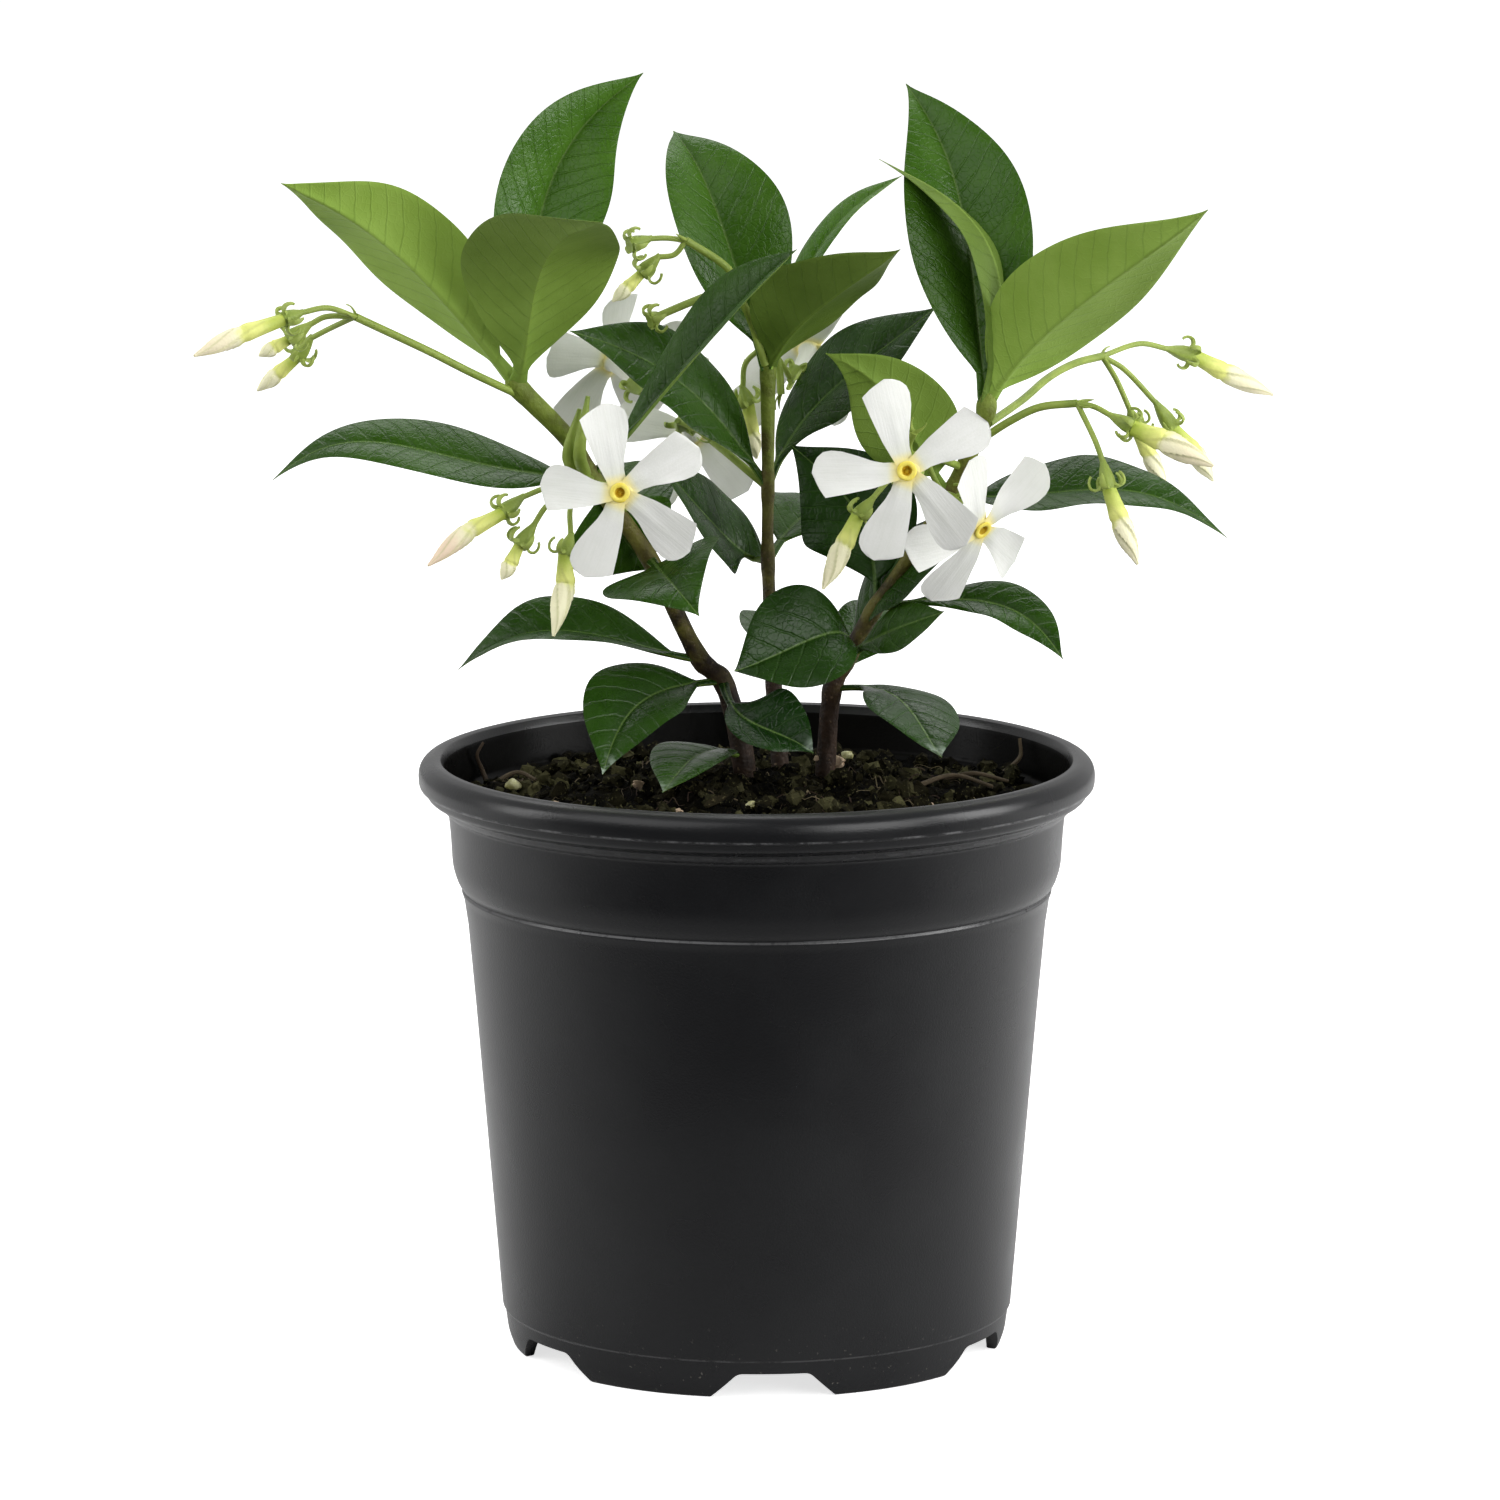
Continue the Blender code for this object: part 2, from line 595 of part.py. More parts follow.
def petal_surface(frame, turn, length):
    """The mid-surface of a petal that turns like a propeller blade and bends back a little."""
    spin = Matrix.Rotation(math.radians(turn), 4, "Z")
    table = {u: (corner, round_side) for u, corner, round_side in PETAL_OUTLINE}

    def surface(u, v):
        corner, round_side = table[u]
        across = corner * (v + 1) / 2 - round_side * (1 - v) / 2
        twist = math.radians(PETAL_TWIST * u)
        lift = across * math.sin(twist) - PETAL_RECURVE * u * u
        place = Vector((length * u, across * math.cos(twist), lift))
        return (frame @ spin @ place) * MM

    return surface


def flower(name, petal_white, eye_yellow, home):
    """A pinwheel of five petals on a slim tube, and the yellow ring about its throat."""
    middle, facing, turns, length = FLOWERS[name]
    frame = aligned(middle, facing)
    line = [(frame @ Vector((0, 0, height)), radius) for height, radius in THROAT_SHAPE]
    pieces = [tube(name + "_tube", line, home)]
    rows = [row[0] for row in PETAL_OUTLINE]
    for turn in turns:
        form = petal_surface(frame, turn, length)
        pieces.append(blade(f"{name}_petal_{turn}", form, rows, 2, home))
    united(f"corolla_{name}", pieces, petal_white, home)
    bpy.ops.mesh.primitive_torus_add(
        major_radius=EYE_RADIUS * MM,
        minor_radius=EYE_THICKNESS / 2 * MM,
        major_segments=8,
        minor_segments=4,
    )
    eye = bpy.context.object
    eye.name = f"eye_{name}"
    place = aligned(middle, facing)
    place.translation = (frame @ Vector((0, 0, EYE_HEIGHT))) * MM
    eye.matrix_world = place
    for owner in list(eye.users_collection):
        owner.objects.unlink(eye)
    home.objects.link(eye)
    finish(eye, eye_yellow)


def pot(surface, home):
    """The pot: one turned wall with a rolled lip, foot notches and drain holes."""
    profile = (
        (0, FLOOR_TOP),
        (43.2, FLOOR_TOP),
        (48.7, 61.8),
        (50.3, 79.5),
        (52.4, 86.0),
        (53.6, 98.4),
        (54.7, 99.8),
        (56.0, 105.2),
        (57.4, POT_HEIGHT),
        (58.9, 105.6),
        (RIM_RADIUS, 103.4),
        (59.7, 101.3),
        (59.0, 99.6),
        (57.4, 97.9),
        (55.2, 96.0),
        (54.3, 93.5),
        (53.9, 86.6),
        (53.1, 83.4),
        (51.7, 80.0),
        (50.0, 61.8),
        (45.2, FLOOR_TOP),
        (44.6, 2.4),
        (FOOT_RADIUS, 0),
        (FOOT_RADIUS - 1.8, 0),
        (FOOT_RADIUS - 1.0, FLOOR_UNDERSIDE),
        (0, FLOOR_UNDERSIDE),
    )
    made = turned("pot", profile, POT_STEPS, home)
    tools = new_collection("pot_cutters")
    for number in range(NOTCH_COUNT):
        angle = math.radians(-90 + NOTCH_TURN + 60 * number)
        notch(f"notch_{number}", angle, tools)
        drain_hole(f"drain_hole_{number}", angle + math.radians(30), tools)
    cut(made, tools)
    finished = baked(made, home)
    finished.name = "pot"
    finish(finished, surface)


def notch(name, angle, tools):
    """A cutter for one foot notch: a block that narrows upwards."""
    block = bmesh.new()
    bmesh.ops.create_cube(block, size=1.0)
    for corner in block.verts:
        top = corner.co.z > 0
        width = NOTCH_TOP_WIDTH if top else NOTCH_BOTTOM_WIDTH
        corner.co.x = (FOOT_RADIUS + NOTCH_DEPTH * corner.co.x) * MM
        corner.co.y = corner.co.y * width * MM
        corner.co.z = (NOTCH_HEIGHT if top else -CUTTER_OVERRUN) * MM
    mesh = bpy.data.meshes.new(name)
    block.to_mesh(mesh)
    block.free()
    made = add_object(name, mesh, tools)
    made.rotation_euler = (0, 0, angle)


def drain_hole(name, angle, tools):
    """A cutter for one drain hole through the floor."""
    around = (DRAIN_HOLE_CIRCLE * math.cos(angle), DRAIN_HOLE_CIRCLE * math.sin(angle))
    middle = (FLOOR_TOP + FLOOR_UNDERSIDE) / 2
    length = FLOOR_TOP - FLOOR_UNDERSIDE + 2 * CUTTER_OVERRUN
    cylinder(name, (*around, middle), (0, 0, 1), DRAIN_HOLE_RADIUS, length, tools)


def cylinder(name, place, direction, radius, length, home):
    """A plain cylinder about a place, along a direction."""
    round_bar = bmesh.new()
    bmesh.ops.create_cone(
        round_bar,
        cap_ends=True,
        segments=CUTTER_SIDES,
        radius1=radius * MM,
        radius2=radius * MM,
        depth=length * MM,
    )
    mesh = bpy.data.meshes.new(name)
    round_bar.to_mesh(mesh)
    round_bar.free()
    made = add_object(name, mesh, home)
    frame = aligned(place, direction)
    frame.translation = metres(place)
    made.matrix_world = frame


def cut(made, tools):
    """Cut every object of a collection out of a solid, then remove the cutters."""
    for tool in tools.objects:
        tool.hide_render = True
        tool.display_type = "WIRE"
    trim = made.modifiers.new("cut", "BOOLEAN")
    trim.operation = "DIFFERENCE"
    trim.operand_type = "COLLECTION"
    trim.collection = tools
    trim.solver = "EXACT"


def potting_mix(surface, home):
    """The filling of the pot: mounded at the stems, with a plain hole for each."""
    low = FLOOR_TOP + CLEARANCE
    rise = MIX_MOUND_HEIGHT - MIX_EDGE_HEIGHT
    profile = (
        (0, MIX_MOUND_HEIGHT),
        (14, MIX_EDGE_HEIGHT + 0.85 * rise),
        (28, MIX_EDGE_HEIGHT + 0.35 * rise),
        (42, MIX_EDGE_HEIGHT + 0.05 * rise),
        (52.9, MIX_EDGE_HEIGHT),
        (51.8, 86.0),
        (49.8, 79.5),
        (48.2, 61.8),
        (42.8, 8.0),
        (42.3, low),
        (0, low),
    )
    made = turned("potting_mix", profile, MIX_STEPS, home)
    tools = new_collection("mix_cutters")
    for side, line in STEMS.items():
        (foot, foot_radius), (collar, _) = line[:2]
        along = (Vector(collar) - Vector(foot)).normalized()
        middle = Vector(foot) + along * (STEM_HOLE_LENGTH / 2 - CLEARANCE)
        radius = foot_radius + STEM_HOLE_CLEARANCE
        cylinder(f"hole_{side}", middle, along, radius, STEM_HOLE_LENGTH, tools)
    cut(made, tools)
    finished = baked(made, home)
    finished.name = "potting_mix"
    finish(finished, surface)


def remove_cutters():
    """Remove the cutters once the shapes they cut are plain meshes."""
    for name in ("pot_cutters", "mix_cutters"):
        tools = bpy.data.collections[name]
        for tool in list(tools.objects):
            bpy.data.objects.remove(tool, do_unlink=True)
        bpy.data.collections.remove(tools)


def build():
    """Build the potted plant."""
    clear_scene()
    home = new_collection("potted_star_jasmine")
    pot_black = material("pot_plastic", (0.018, 0.019, 0.021), 0.38)
    mix_brown = material("potting_mix", (0.045, 0.030, 0.020), 0.95)
    leaf_green = material("leaf_and_stem", (0.035, 0.110, 0.025), 0.35)
    spray_green = material("spray_green", (0.300, 0.420, 0.080), 0.55)
    petal_white = material("petal_white", (0.880, 0.880, 0.850), 0.60)
    eye_yellow = material("eye_yellow", (0.850, 0.600, 0.080), 0.60)
    bud_cream = material("bud_cream", (0.780, 0.800, 0.480), 0.55)
    pot(pot_black, home)
    potting_mix(mix_brown, home)
    remove_cutters()
    for side in STEMS:
        leafy_stem(side, leaf_green, home)
    for name in SPRAYS:
        spray(name, spray_green, home)
    for name in BUDS:
        bud(name, bud_cream, home)
    for name in FLOWERS:
        flower(name, petal_white, eye_yellow, home)


build()
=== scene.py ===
import json
import math
import random

import bmesh
import bpy
import numpy as np
from mathutils import Matrix, Vector, noise

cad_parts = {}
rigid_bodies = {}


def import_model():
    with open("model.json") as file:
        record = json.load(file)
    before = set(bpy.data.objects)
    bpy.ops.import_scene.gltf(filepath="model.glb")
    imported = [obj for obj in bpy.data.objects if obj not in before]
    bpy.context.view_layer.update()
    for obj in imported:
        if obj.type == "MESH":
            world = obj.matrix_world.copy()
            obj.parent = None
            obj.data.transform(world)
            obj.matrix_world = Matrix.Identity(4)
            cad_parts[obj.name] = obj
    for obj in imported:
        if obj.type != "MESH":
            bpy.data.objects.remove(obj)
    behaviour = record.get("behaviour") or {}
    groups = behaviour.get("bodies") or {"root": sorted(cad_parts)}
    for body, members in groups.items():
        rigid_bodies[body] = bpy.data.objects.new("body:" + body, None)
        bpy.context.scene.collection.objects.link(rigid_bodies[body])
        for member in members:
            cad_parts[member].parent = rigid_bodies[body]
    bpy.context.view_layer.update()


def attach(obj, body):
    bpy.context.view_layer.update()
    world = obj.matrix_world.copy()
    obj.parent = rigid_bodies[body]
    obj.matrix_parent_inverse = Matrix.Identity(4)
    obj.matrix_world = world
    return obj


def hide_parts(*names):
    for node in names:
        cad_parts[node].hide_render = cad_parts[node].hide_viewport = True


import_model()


# Pot
# A nursery pot, moulded in one shot from black polypropylene. Its lip is rolled out for
# stiffness, a step lets pots stack without sticking, and notches in the foot drain the water.

MM = 0.001
POT_STEPS = 200
CORNER_STEPS = 4
LONGEST_ROUNDING = 0.45  # of the shorter side at a corner
SHARP_ANGLE = math.radians(38)

# Inside from the floor up, over the lip, down the outside: radius, height, corner rounding
POT_OUTLINE = (
    (0, 6.8, 0),
    (43.2, 6.8, 1.5),
    (48.7, 61.8, 0),
    (50.3, 79.5, 3.0),
    (52.4, 86.0, 3.0),
    (53.2, 96.8, 0.5),
    (54.5, 97.9, 0.5),
    (55.5, 104.4, 0.8),
    (56.1, 105.8, 0.3),
    (57.4, 106.0, 0.5),
    (58.8, 105.5, 0.6),
    (59.7, 104.5, 0.6),
    (60.0, 103.2, 0.7),
    (59.9, 101.6, 0.3),
    (59.7, 101.05, 0.15),
    (58.9, 100.9, 0.15),
    (58.5, 99.4, 0.7),
    (56.3, 98.4, 0.4),
    (55.7, 97.3, 0.5),
    (54.75, 96.6, 0.35),
    (54.35, 93.0, 2.0),
    (54.0, 86.8, 1.6),
    (53.1, 84.0, 1.0),
    (52.15, 82.75, 0.12),
    (52.45, 82.25, 0.18),
    (52.0, 81.0, 0.6),
    (51.3, 76.3, 0),
    (50.0, 61.8, 0),
    (45.5, 7.2, 0.15),
    (45.1, 6.7, 0.15),
    (44.5, 2.4, 1.0),
    (43.6, 0, 0.5),
    (41.8, 0, 0.4),
    (42.6, 5.4, 0.6),
    (0, 5.4, 0),
)

# Foot notches, turned a little past the front, and the drain holes in the floor between them
NOTCH_COUNT = 6
NOTCH_HEIGHT = 4.6
NOTCH_BOTTOM_WIDTH = 22.0
NOTCH_TOP_WIDTH = 12.6
NOTCH_ROUNDING = 0.9
NOTCH_TURN = 3.8
NOTCH_MIDDLE = 43.6
NOTCH_DEPTH = 10.0
DRAIN_HOLE_RADIUS = 4.5
DRAIN_HOLE_CIRCLE = 31.0
DRAIN_HOLE_SIDES = 32
DRAIN_HOLE_CUT = (4.0, 8.0)

# The matt inside, its black painted darker as shade inside the pot: the heights it lies between,
# and how squarely its faces look inwards
INSIDE_FROM, INSIDE_TO = 7.0, 104.2
INSIDE_FACING = 0.3

# Pale lines along edges, partly wear and partly painted highlight: height, half-width, radius, how
# broken the line is, and its strength
WORN_AND_HIGHLIGHT_EDGES = (
    (101.30, 0.26, 59.3, 0.50, 0.45),
    (97.75, 0.35, 54.9, 0.50, 0.12),
    (82.45, 0.28, 51.5, 0.38, 0.28),
    (6.85, 0.24, 44.4, 0.42, 0.20),
)


class Skin:
    """The points and faces of one piece in millimetres, while it is put together.

    Each point has a layout: millimetres along and across what grows there, and its share of
    the way from the foot to the tip. Tone is one number for each part, from old to young.
    """

    def __init__(self):
        self.places, self.layout, self.tones = [], [], []
        self.faces, self.slots = [], []

    def ring(self, places, layout=None, tone=0.0):
        """Add points and return their numbers."""
        start = len(self.places)
        self.places.extend(tuple(place) for place in places)
        self.layout.extend(layout or [(0.0, 0.0, 0.0)] * len(places))
        self.tones.extend([tone] * len(places))
        return list(range(start, len(self.places)))

    def face(self, corners, slot=0):
        """Add a face over points' numbers."""
        self.faces.append(tuple(corners))
        self.slots.append(slot)

    def loft(self, rings, slots=None, closed_ends=True):
        """Join closed rings of points in turn. A ring of one point makes a tip."""
        for low, high in zip(rings, rings[1:]):
            count = max(len(low), len(high))
            for number in range(count):
                after = (number + 1) % count
                corners = [low[number % len(low)], low[after % len(low)]]
                corners += [high[after % len(high)], high[number % len(high)]]
                self.face(dict.fromkeys(corners), slots[number] if slots else 0)
        if closed_ends:
            for end in (rings[0], rings[-1]):
                if len(end) > 2:
                    self.face(end, slots[0] if slots else 0)

    def piece(self, name, *finishes):
        """Make the object, with its faces turned outwards and smooth between sharp edges."""
        mesh = bpy.data.meshes.new(name)
        mesh.from_pydata([Vector(place) * MM for place in self.places], [], self.faces)
        mesh.polygons.foreach_set("material_index", self.slots)
        layout = mesh.attributes.new("layout", "FLOAT_VECTOR", "POINT")
        layout.data.foreach_set("vector", np.array(self.layout, np.float32).ravel())
        tone = mesh.attributes.new("tone", "FLOAT", "POINT")
        tone.data.foreach_set("value", np.array(self.tones, np.float32))
        for finish in finishes:
            mesh.materials.append(finish)
        return shown(name, outwards(mesh))


def outwards(mesh):
    """Turn a mesh's faces outwards and smooth it between sharp edges."""
    turned_mesh = bmesh.new()
    turned_mesh.from_mesh(mesh)
    bmesh.ops.recalc_face_normals(turned_mesh, faces=turned_mesh.faces)
    turned_mesh.to_mesh(mesh)
    turned_mesh.free()
    mesh.polygons.foreach_set("use_smooth", [True] * len(mesh.polygons))
    mesh.set_sharp_from_angle(angle=SHARP_ANGLE)
    return mesh


def shown(name, mesh):
    """Put a mesh in the scene."""
    made = bpy.data.objects.new(name, mesh)
    bpy.context.scene.collection.objects.link(made)
    return made


def rounded(outline):
    """Round the corners of an outline of (radius, height, rounding)."""
    line = [Vector(corner[:2]) for corner in outline]
    soft = [line[0]]
    for before, here, after, corner in zip(line, line[1:], line[2:], outline[1:]):
        if corner[2] == 0:
            soft.append(here)
            continue
        arms = [before - here, after - here]
        reaches = [min(corner[2], LONGEST_ROUNDING * arm.length) for arm in arms]
        start, end = (here + arm.normalized() * reach for arm, reach in zip(arms, reaches))
        for step in range(CORNER_STEPS + 1):
            t = step / CORNER_STEPS
            soft.append(start.lerp(here, t).lerp(here.lerp(end, t), t))
    return soft + [line[-1]]


def turned(skin, outline, steps):
    """Turn an outline of (radius, height) about the pot's axis."""
    angles = [2 * math.pi * step / steps for step in range(steps)]
    rings = []
    for radius, height in outline:
        around = angles if radius else angles[:1]
        ring = [(radius * math.cos(a), radius * math.sin(a), height) for a in around]
        rings.append(skin.ring(ring))
    skin.loft(rings, closed_ends=False)


def cutter(name, outline, low, high):
    """A block that stands on a flat outline of (x, y), for cutting."""
    skin = Skin()
    skin.loft([skin.ring([(*corner, z) for corner in outline]) for z in (low, high)])
    return skin.piece(name)


def pot_cutters():
    """A block for each foot notch, and a bar for each drain hole."""
    half_low = NOTCH_BOTTOM_WIDTH / 2
    half_high = NOTCH_TOP_WIDTH / 2
    slope = (half_low - half_high) / NOTCH_HEIGHT
    corners = (
        (-half_low - slope, -1.0, 0),
        (-half_high, NOTCH_HEIGHT, NOTCH_ROUNDING),
        (half_high, NOTCH_HEIGHT, NOTCH_ROUNDING),
        (half_low + slope, -1.0, 0),
    )
    outline = rounded(corners)
    for number in range(NOTCH_COUNT):
        angle = math.radians(-90 + NOTCH_TURN + 60 * number)
        notch = cutter(f"notch_{number}", outline, 0, NOTCH_DEPTH)
        stand = Matrix(((0, 0, 1, NOTCH_MIDDLE - NOTCH_DEPTH / 2), (1, 0, 0, 0), (0, 1, 0, 0)))
        stand = stand.to_4x4()
        stand.translation *= MM
        notch.data.transform(Matrix.Rotation(angle, 4, "Z") @ stand)
        yield notch
        turn = angle + math.radians(30)
        middle = Vector((math.cos(turn), math.sin(turn))) * DRAIN_HOLE_CIRCLE
        sides = [2 * math.pi * side / DRAIN_HOLE_SIDES for side in range(DRAIN_HOLE_SIDES)]
        hole = [middle + Vector((math.cos(a), math.sin(a))) * DRAIN_HOLE_RADIUS for a in sides]
        yield cutter(f"drain_hole_{number}", hole, *DRAIN_HOLE_CUT)


def feed(tree, socket, value):
    """Give a socket a constant, or link it to the output that feeds it."""
    if isinstance(value, bpy.types.NodeSocket):
        tree.links.new(value, socket)
    else:
        socket.default_value = value


def node(tree, kind, inputs, **settings):
    """Add a shader node with its inputs fed, and return its outputs."""
    made = tree.nodes.new("ShaderNode" + kind)
    for name, value in settings.items():
        setattr(made, name, value)
    for name, value in inputs.items():
        feed(tree, made.inputs[name], value)
    return made.outputs


def maths(tree, operation, *values):
    """One Math node."""
    return node(tree, "Math", dict(enumerate(values)), operation=operation)["Value"]


def faded(tree, value, start, end, low=0.0, high=1.0):
    """A value that passes softly from low at start to high at end."""
    inputs = {"Value": value, "From Min": start, "From Max": end, "To Min": low, "To Max": high}
    return node(tree, "MapRange", inputs, interpolation_type="SMOOTHSTEP")["Result"]


def mixed(tree, share, first, second, way="MIX"):
    """Two colours mixed by a share. Plain colours are given as (red, green, blue)."""
    colours = [c if isinstance(c, bpy.types.NodeSocket) else (*c, 1.0) for c in (first, second)]
    inputs = {0: share, 6: colours[0], 7: colours[1]}
    return node(tree, "Mix", inputs, data_type="RGBA", blend_type=way)[2]


def speckle(tree, place, scale, detail=3.0, roughness=0.55):
    """A noise from 0 to 1, with scale in features a metre."""
    inputs = {"Vector": place, "Scale": scale, "Detail": detail, "Roughness": roughness}
    return node(tree, "TexNoise", inputs)[0]


def new_group(name, inputs, outputs):
    """A shader node group: its tree, the outputs of its input node and its output node's inputs."""
    tree = bpy.data.node_groups.new(name, "ShaderNodeTree")
    for label, kind, value in inputs:
        socket = tree.interface.new_socket(label, in_out="INPUT", socket_type=f"NodeSocket{kind}")
        socket.default_value = value
    for label, kind in outputs:
        tree.interface.new_socket(label, in_out="OUTPUT", socket_type=f"NodeSocket{kind}")
    entry = tree.nodes.new("NodeGroupInput")
    leave = tree.nodes.new("NodeGroupOutput")
    return tree, entry.outputs, leave.inputs


def grouped(tree, group, inputs):
    """Place a node group in a material and return its outputs."""
    made = tree.nodes.new("ShaderNodeGroup")
    made.node_tree = group
    for name, value in inputs.items():
        feed(tree, made.inputs[name], value)
    return made.outputs


def patchy_group():
    """Uneven colour and fine relief: soft patches, and the grain of a surface."""
    tree, given, result = new_group(
        "Patches and grain",
        (
            ("Place", "Vector", (0, 0, 0)),
            ("Patch Scale", "Float", 60.0),
            ("Grain Scale", "Float", 900.0),
            ("Contrast", "Float", 0.2),
        ),
        (("Patches", "Float"), ("Grain", "Float")),
    )
    patches = speckle(tree, given["Place"], given["Patch Scale"], 3.0)
    low = maths(tree, "SUBTRACT", 0.5, given["Contrast"])
    high = maths(tree, "ADD", 0.5, given["Contrast"])
    feed(tree, result["Patches"], faded(tree, patches, low, high))
    feed(tree, result["Grain"], speckle(tree, given["Place"], given["Grain Scale"], 2.0))
    return tree


def new_finish(name, roughness, **plain):
    """A material with constant values on its shader: its tree, shader and object coordinates."""
    finish = bpy.data.materials.new(name)
    finish.use_nodes = True
    tree = finish.node_tree
    shader = tree.nodes["Principled BSDF"].inputs
    shader["Roughness"].default_value = roughness
    for label, value in plain.items():
        shader[label.replace("_", " ").title().replace("Ior", "IOR")].default_value = value
    place = node(tree, "TexCoord", {})["Object"]
    return finish, tree, shader, place


def bumped(tree, shader, height, distance):
    """Relief of a surface, with its full height in metres."""
    relief = node(tree, "Bump", {"Height": height, "Distance": distance, "Strength": 1.0})
    feed(tree, shader["Normal"], relief["Normal"])


PATCHES = patchy_group()


def patchy(tree, place, patch_scale, grain_scale, contrast):
    """The patches and the grain at a place, with both scales in features a metre."""
    inputs = {"Place": place, "Patch Scale": patch_scale, "Grain Scale": grain_scale}
    return grouped(tree, PATCHES, {**inputs, "Contrast": contrast})


def times(tree, first, second):
    """Two values multiplied."""
    return maths(tree, "MULTIPLY", first, second)


def parts_of(tree, vector):
    """The X, Y and Z of a vector."""
    return node(tree, "SeparateXYZ", {"Vector": vector})


def polypropylene(name, shine, black, worn_black):
    """Satin black plastic with faint smudges, pale edge lines that are partly wear and partly
    painted highlight, and dust that settles low down.
    """
    # Pale grey of the edge lines: partly wear, partly painted highlight
    scuffed_and_highlight = (0.230, 0.230, 0.235)
    dust = (0.160, 0.150, 0.130)
    finish, tree, shader, place = new_finish(name, 0.34, specular_ior_level=shine)
    marks = patchy(tree, place, 38.0, 2600.0, 0.22)
    height = parts_of(tree, place)["Z"]
    specks = faded(tree, speckle(tree, place, 1500.0, 1.0), 0.70, 0.78)
    low_down = faded(tree, height, 0.016, 0.001)
    dusty = times(tree, specks, times(tree, low_down, 0.5))
    base = mixed(tree, marks["Patches"], black, worn_black)
    flecks = speckle(tree, place, 240.0, 4.0, 0.7)
    flat = node(tree, "VectorMath", {0: place, 1: (1, 1, 0)}, operation="MULTIPLY")["Vector"]
    reach = node(tree, "VectorMath", {0: flat}, operation="LENGTH")["Value"]
    # Each pale edge line is partly wear and partly a painted highlight along the edge
    for edge, half_width, radius, gaps, share in WORN_AND_HIGHLIGHT_EDGES:
        off = maths(tree, "ABSOLUTE", maths(tree, "SUBTRACT", height, edge * MM))
        line = faded(tree, off, half_width * MM, 0.3 * half_width * MM)
        outside = faded(tree, reach, (radius - 0.3) * MM, radius * MM)
        line = times(tree, line, outside)
        worn_and_highlight = times(tree, line, faded(tree, flecks, gaps - 0.08, gaps + 0.12))
        base = mixed(tree, times(tree, worn_and_highlight, share), base, scuffed_and_highlight)
    feed(tree, shader["Base Color"], mixed(tree, dusty, base, dust))
    feed(tree, shader["Roughness"], faded(tree, marks["Patches"], 0.0, 1.0, 0.26, 0.32))
    bumped(tree, shader, marks["Grain"], 0.00003)
    return finish


def nursery_pot():
    """Turn the pot, cut its notches and holes, and put it in the CAD pot's place."""
    skin = Skin()
    turned(skin, rounded(POT_OUTLINE), POT_STEPS)
    outer = polypropylene(
        "black_polypropylene", 0.37, (0.0058, 0.0060, 0.0069), (0.0088, 0.0091, 0.0101)
    )
    # The inside's darker black is painted shade, where the lip shades the inner wall
    inner = polypropylene(
        "black_polypropylene_shaded_inside", 0.05, (0.0020, 0.0020, 0.0018), (0.0034, 0.0032, 0.0027)
    )
    whole = skin.piece("nursery_pot_whole", outer)
    tools = bpy.data.collections.new("pot_cutters")
    for tool in pot_cutters():
        bpy.context.scene.collection.objects.unlink(tool)
        tools.objects.link(tool)
    cut = whole.modifiers.new("cut", "BOOLEAN")
    cut.operation = "DIFFERENCE"
    cut.operand_type = "COLLECTION"
    cut.collection = tools
    cut.solver = "EXACT"
    bpy.context.view_layer.update()
    graph = bpy.context.evaluated_depsgraph_get()
    mesh = bpy.data.meshes.new_from_object(whole.evaluated_get(graph))
    for done in (whole, *tools.objects):
        bpy.data.objects.remove(done)
    bpy.data.collections.remove(tools)
    pot = shown("nursery_pot", outwards(mesh))
    mesh.materials.append(inner)
    for face in mesh.polygons:
        inward = -(face.center.x * face.normal.x + face.center.y * face.normal.y)
        within = INSIDE_FROM * MM < face.center.z < INSIDE_TO * MM
        if within and inward > INSIDE_FACING * face.center.xy.length:
            face.material_index = 1
    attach(pot, "root")
    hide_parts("pot")


nursery_pot()


# Potting mix
# Dark peat with composted bark, pressed in by hand and watered. It fills the pot to near the lip,
# mounded at the stems, with clods, loose crumbs and chips of bark on top.

MIX_STEPS = 300
MIX_RINGS = 88
MIX_EDGE_RADIUS = 52.9
MIX_EDGE_HEIGHT = 97.6
MIX_MOUND = 3.0
MIX_MOUND_RADIUS = 46.0

# Height and spacing of what makes the top uneven
CLODS = (1.9, 9.0)
LUMPS = (1.5, 3.4)
GRIT = (0.45, 1.3)

# Radius and height, down along the pot's wall and over its floor
MIX_SIDE = ((51.6, 86.0), (49.6, 79.5), (48.0, 61.8), (42.8, 8.0), (42.3, 7.1), (0, 7.1))

# Loose pieces keep within the pot's wall and clear of the stems' feet
CRUMB_COUNT = 1700
CHIP_COUNT = 62
STREWN_REACH = 51.5
STEM_FEET = ((-2.3, 10.8), (4.3, 20.0), (12.0, 13.5))
STEM_CLEARANCE = 3.6

# The noise that roughens loose pieces starts from the same number on each run
noise.seed_set(7)


def mix_height(x, y):
    """Height of the mix at a place: a mound with clods, hollows and crumbs."""
    radius = min(math.hypot(x, y), MIX_MOUND_RADIUS)
    height = MIX_EDGE_HEIGHT
    height += MIX_MOUND * (1 + math.cos(math.pi * radius / MIX_MOUND_RADIUS)) / 2
    height += CLODS[0] * noise.fractal(Vector((x, y, 3.0)) / CLODS[1], 0.8, 2.1, 3)
    nearest = noise.voronoi(Vector((x, y, 8.0)) / LUMPS[1])[0][0]
    height += LUMPS[0] * (0.42 - nearest)
    height += GRIT[0] * noise.fractal(Vector((x, y, 5.0)) / GRIT[1], 0.7, 2.2, 3)
    return height


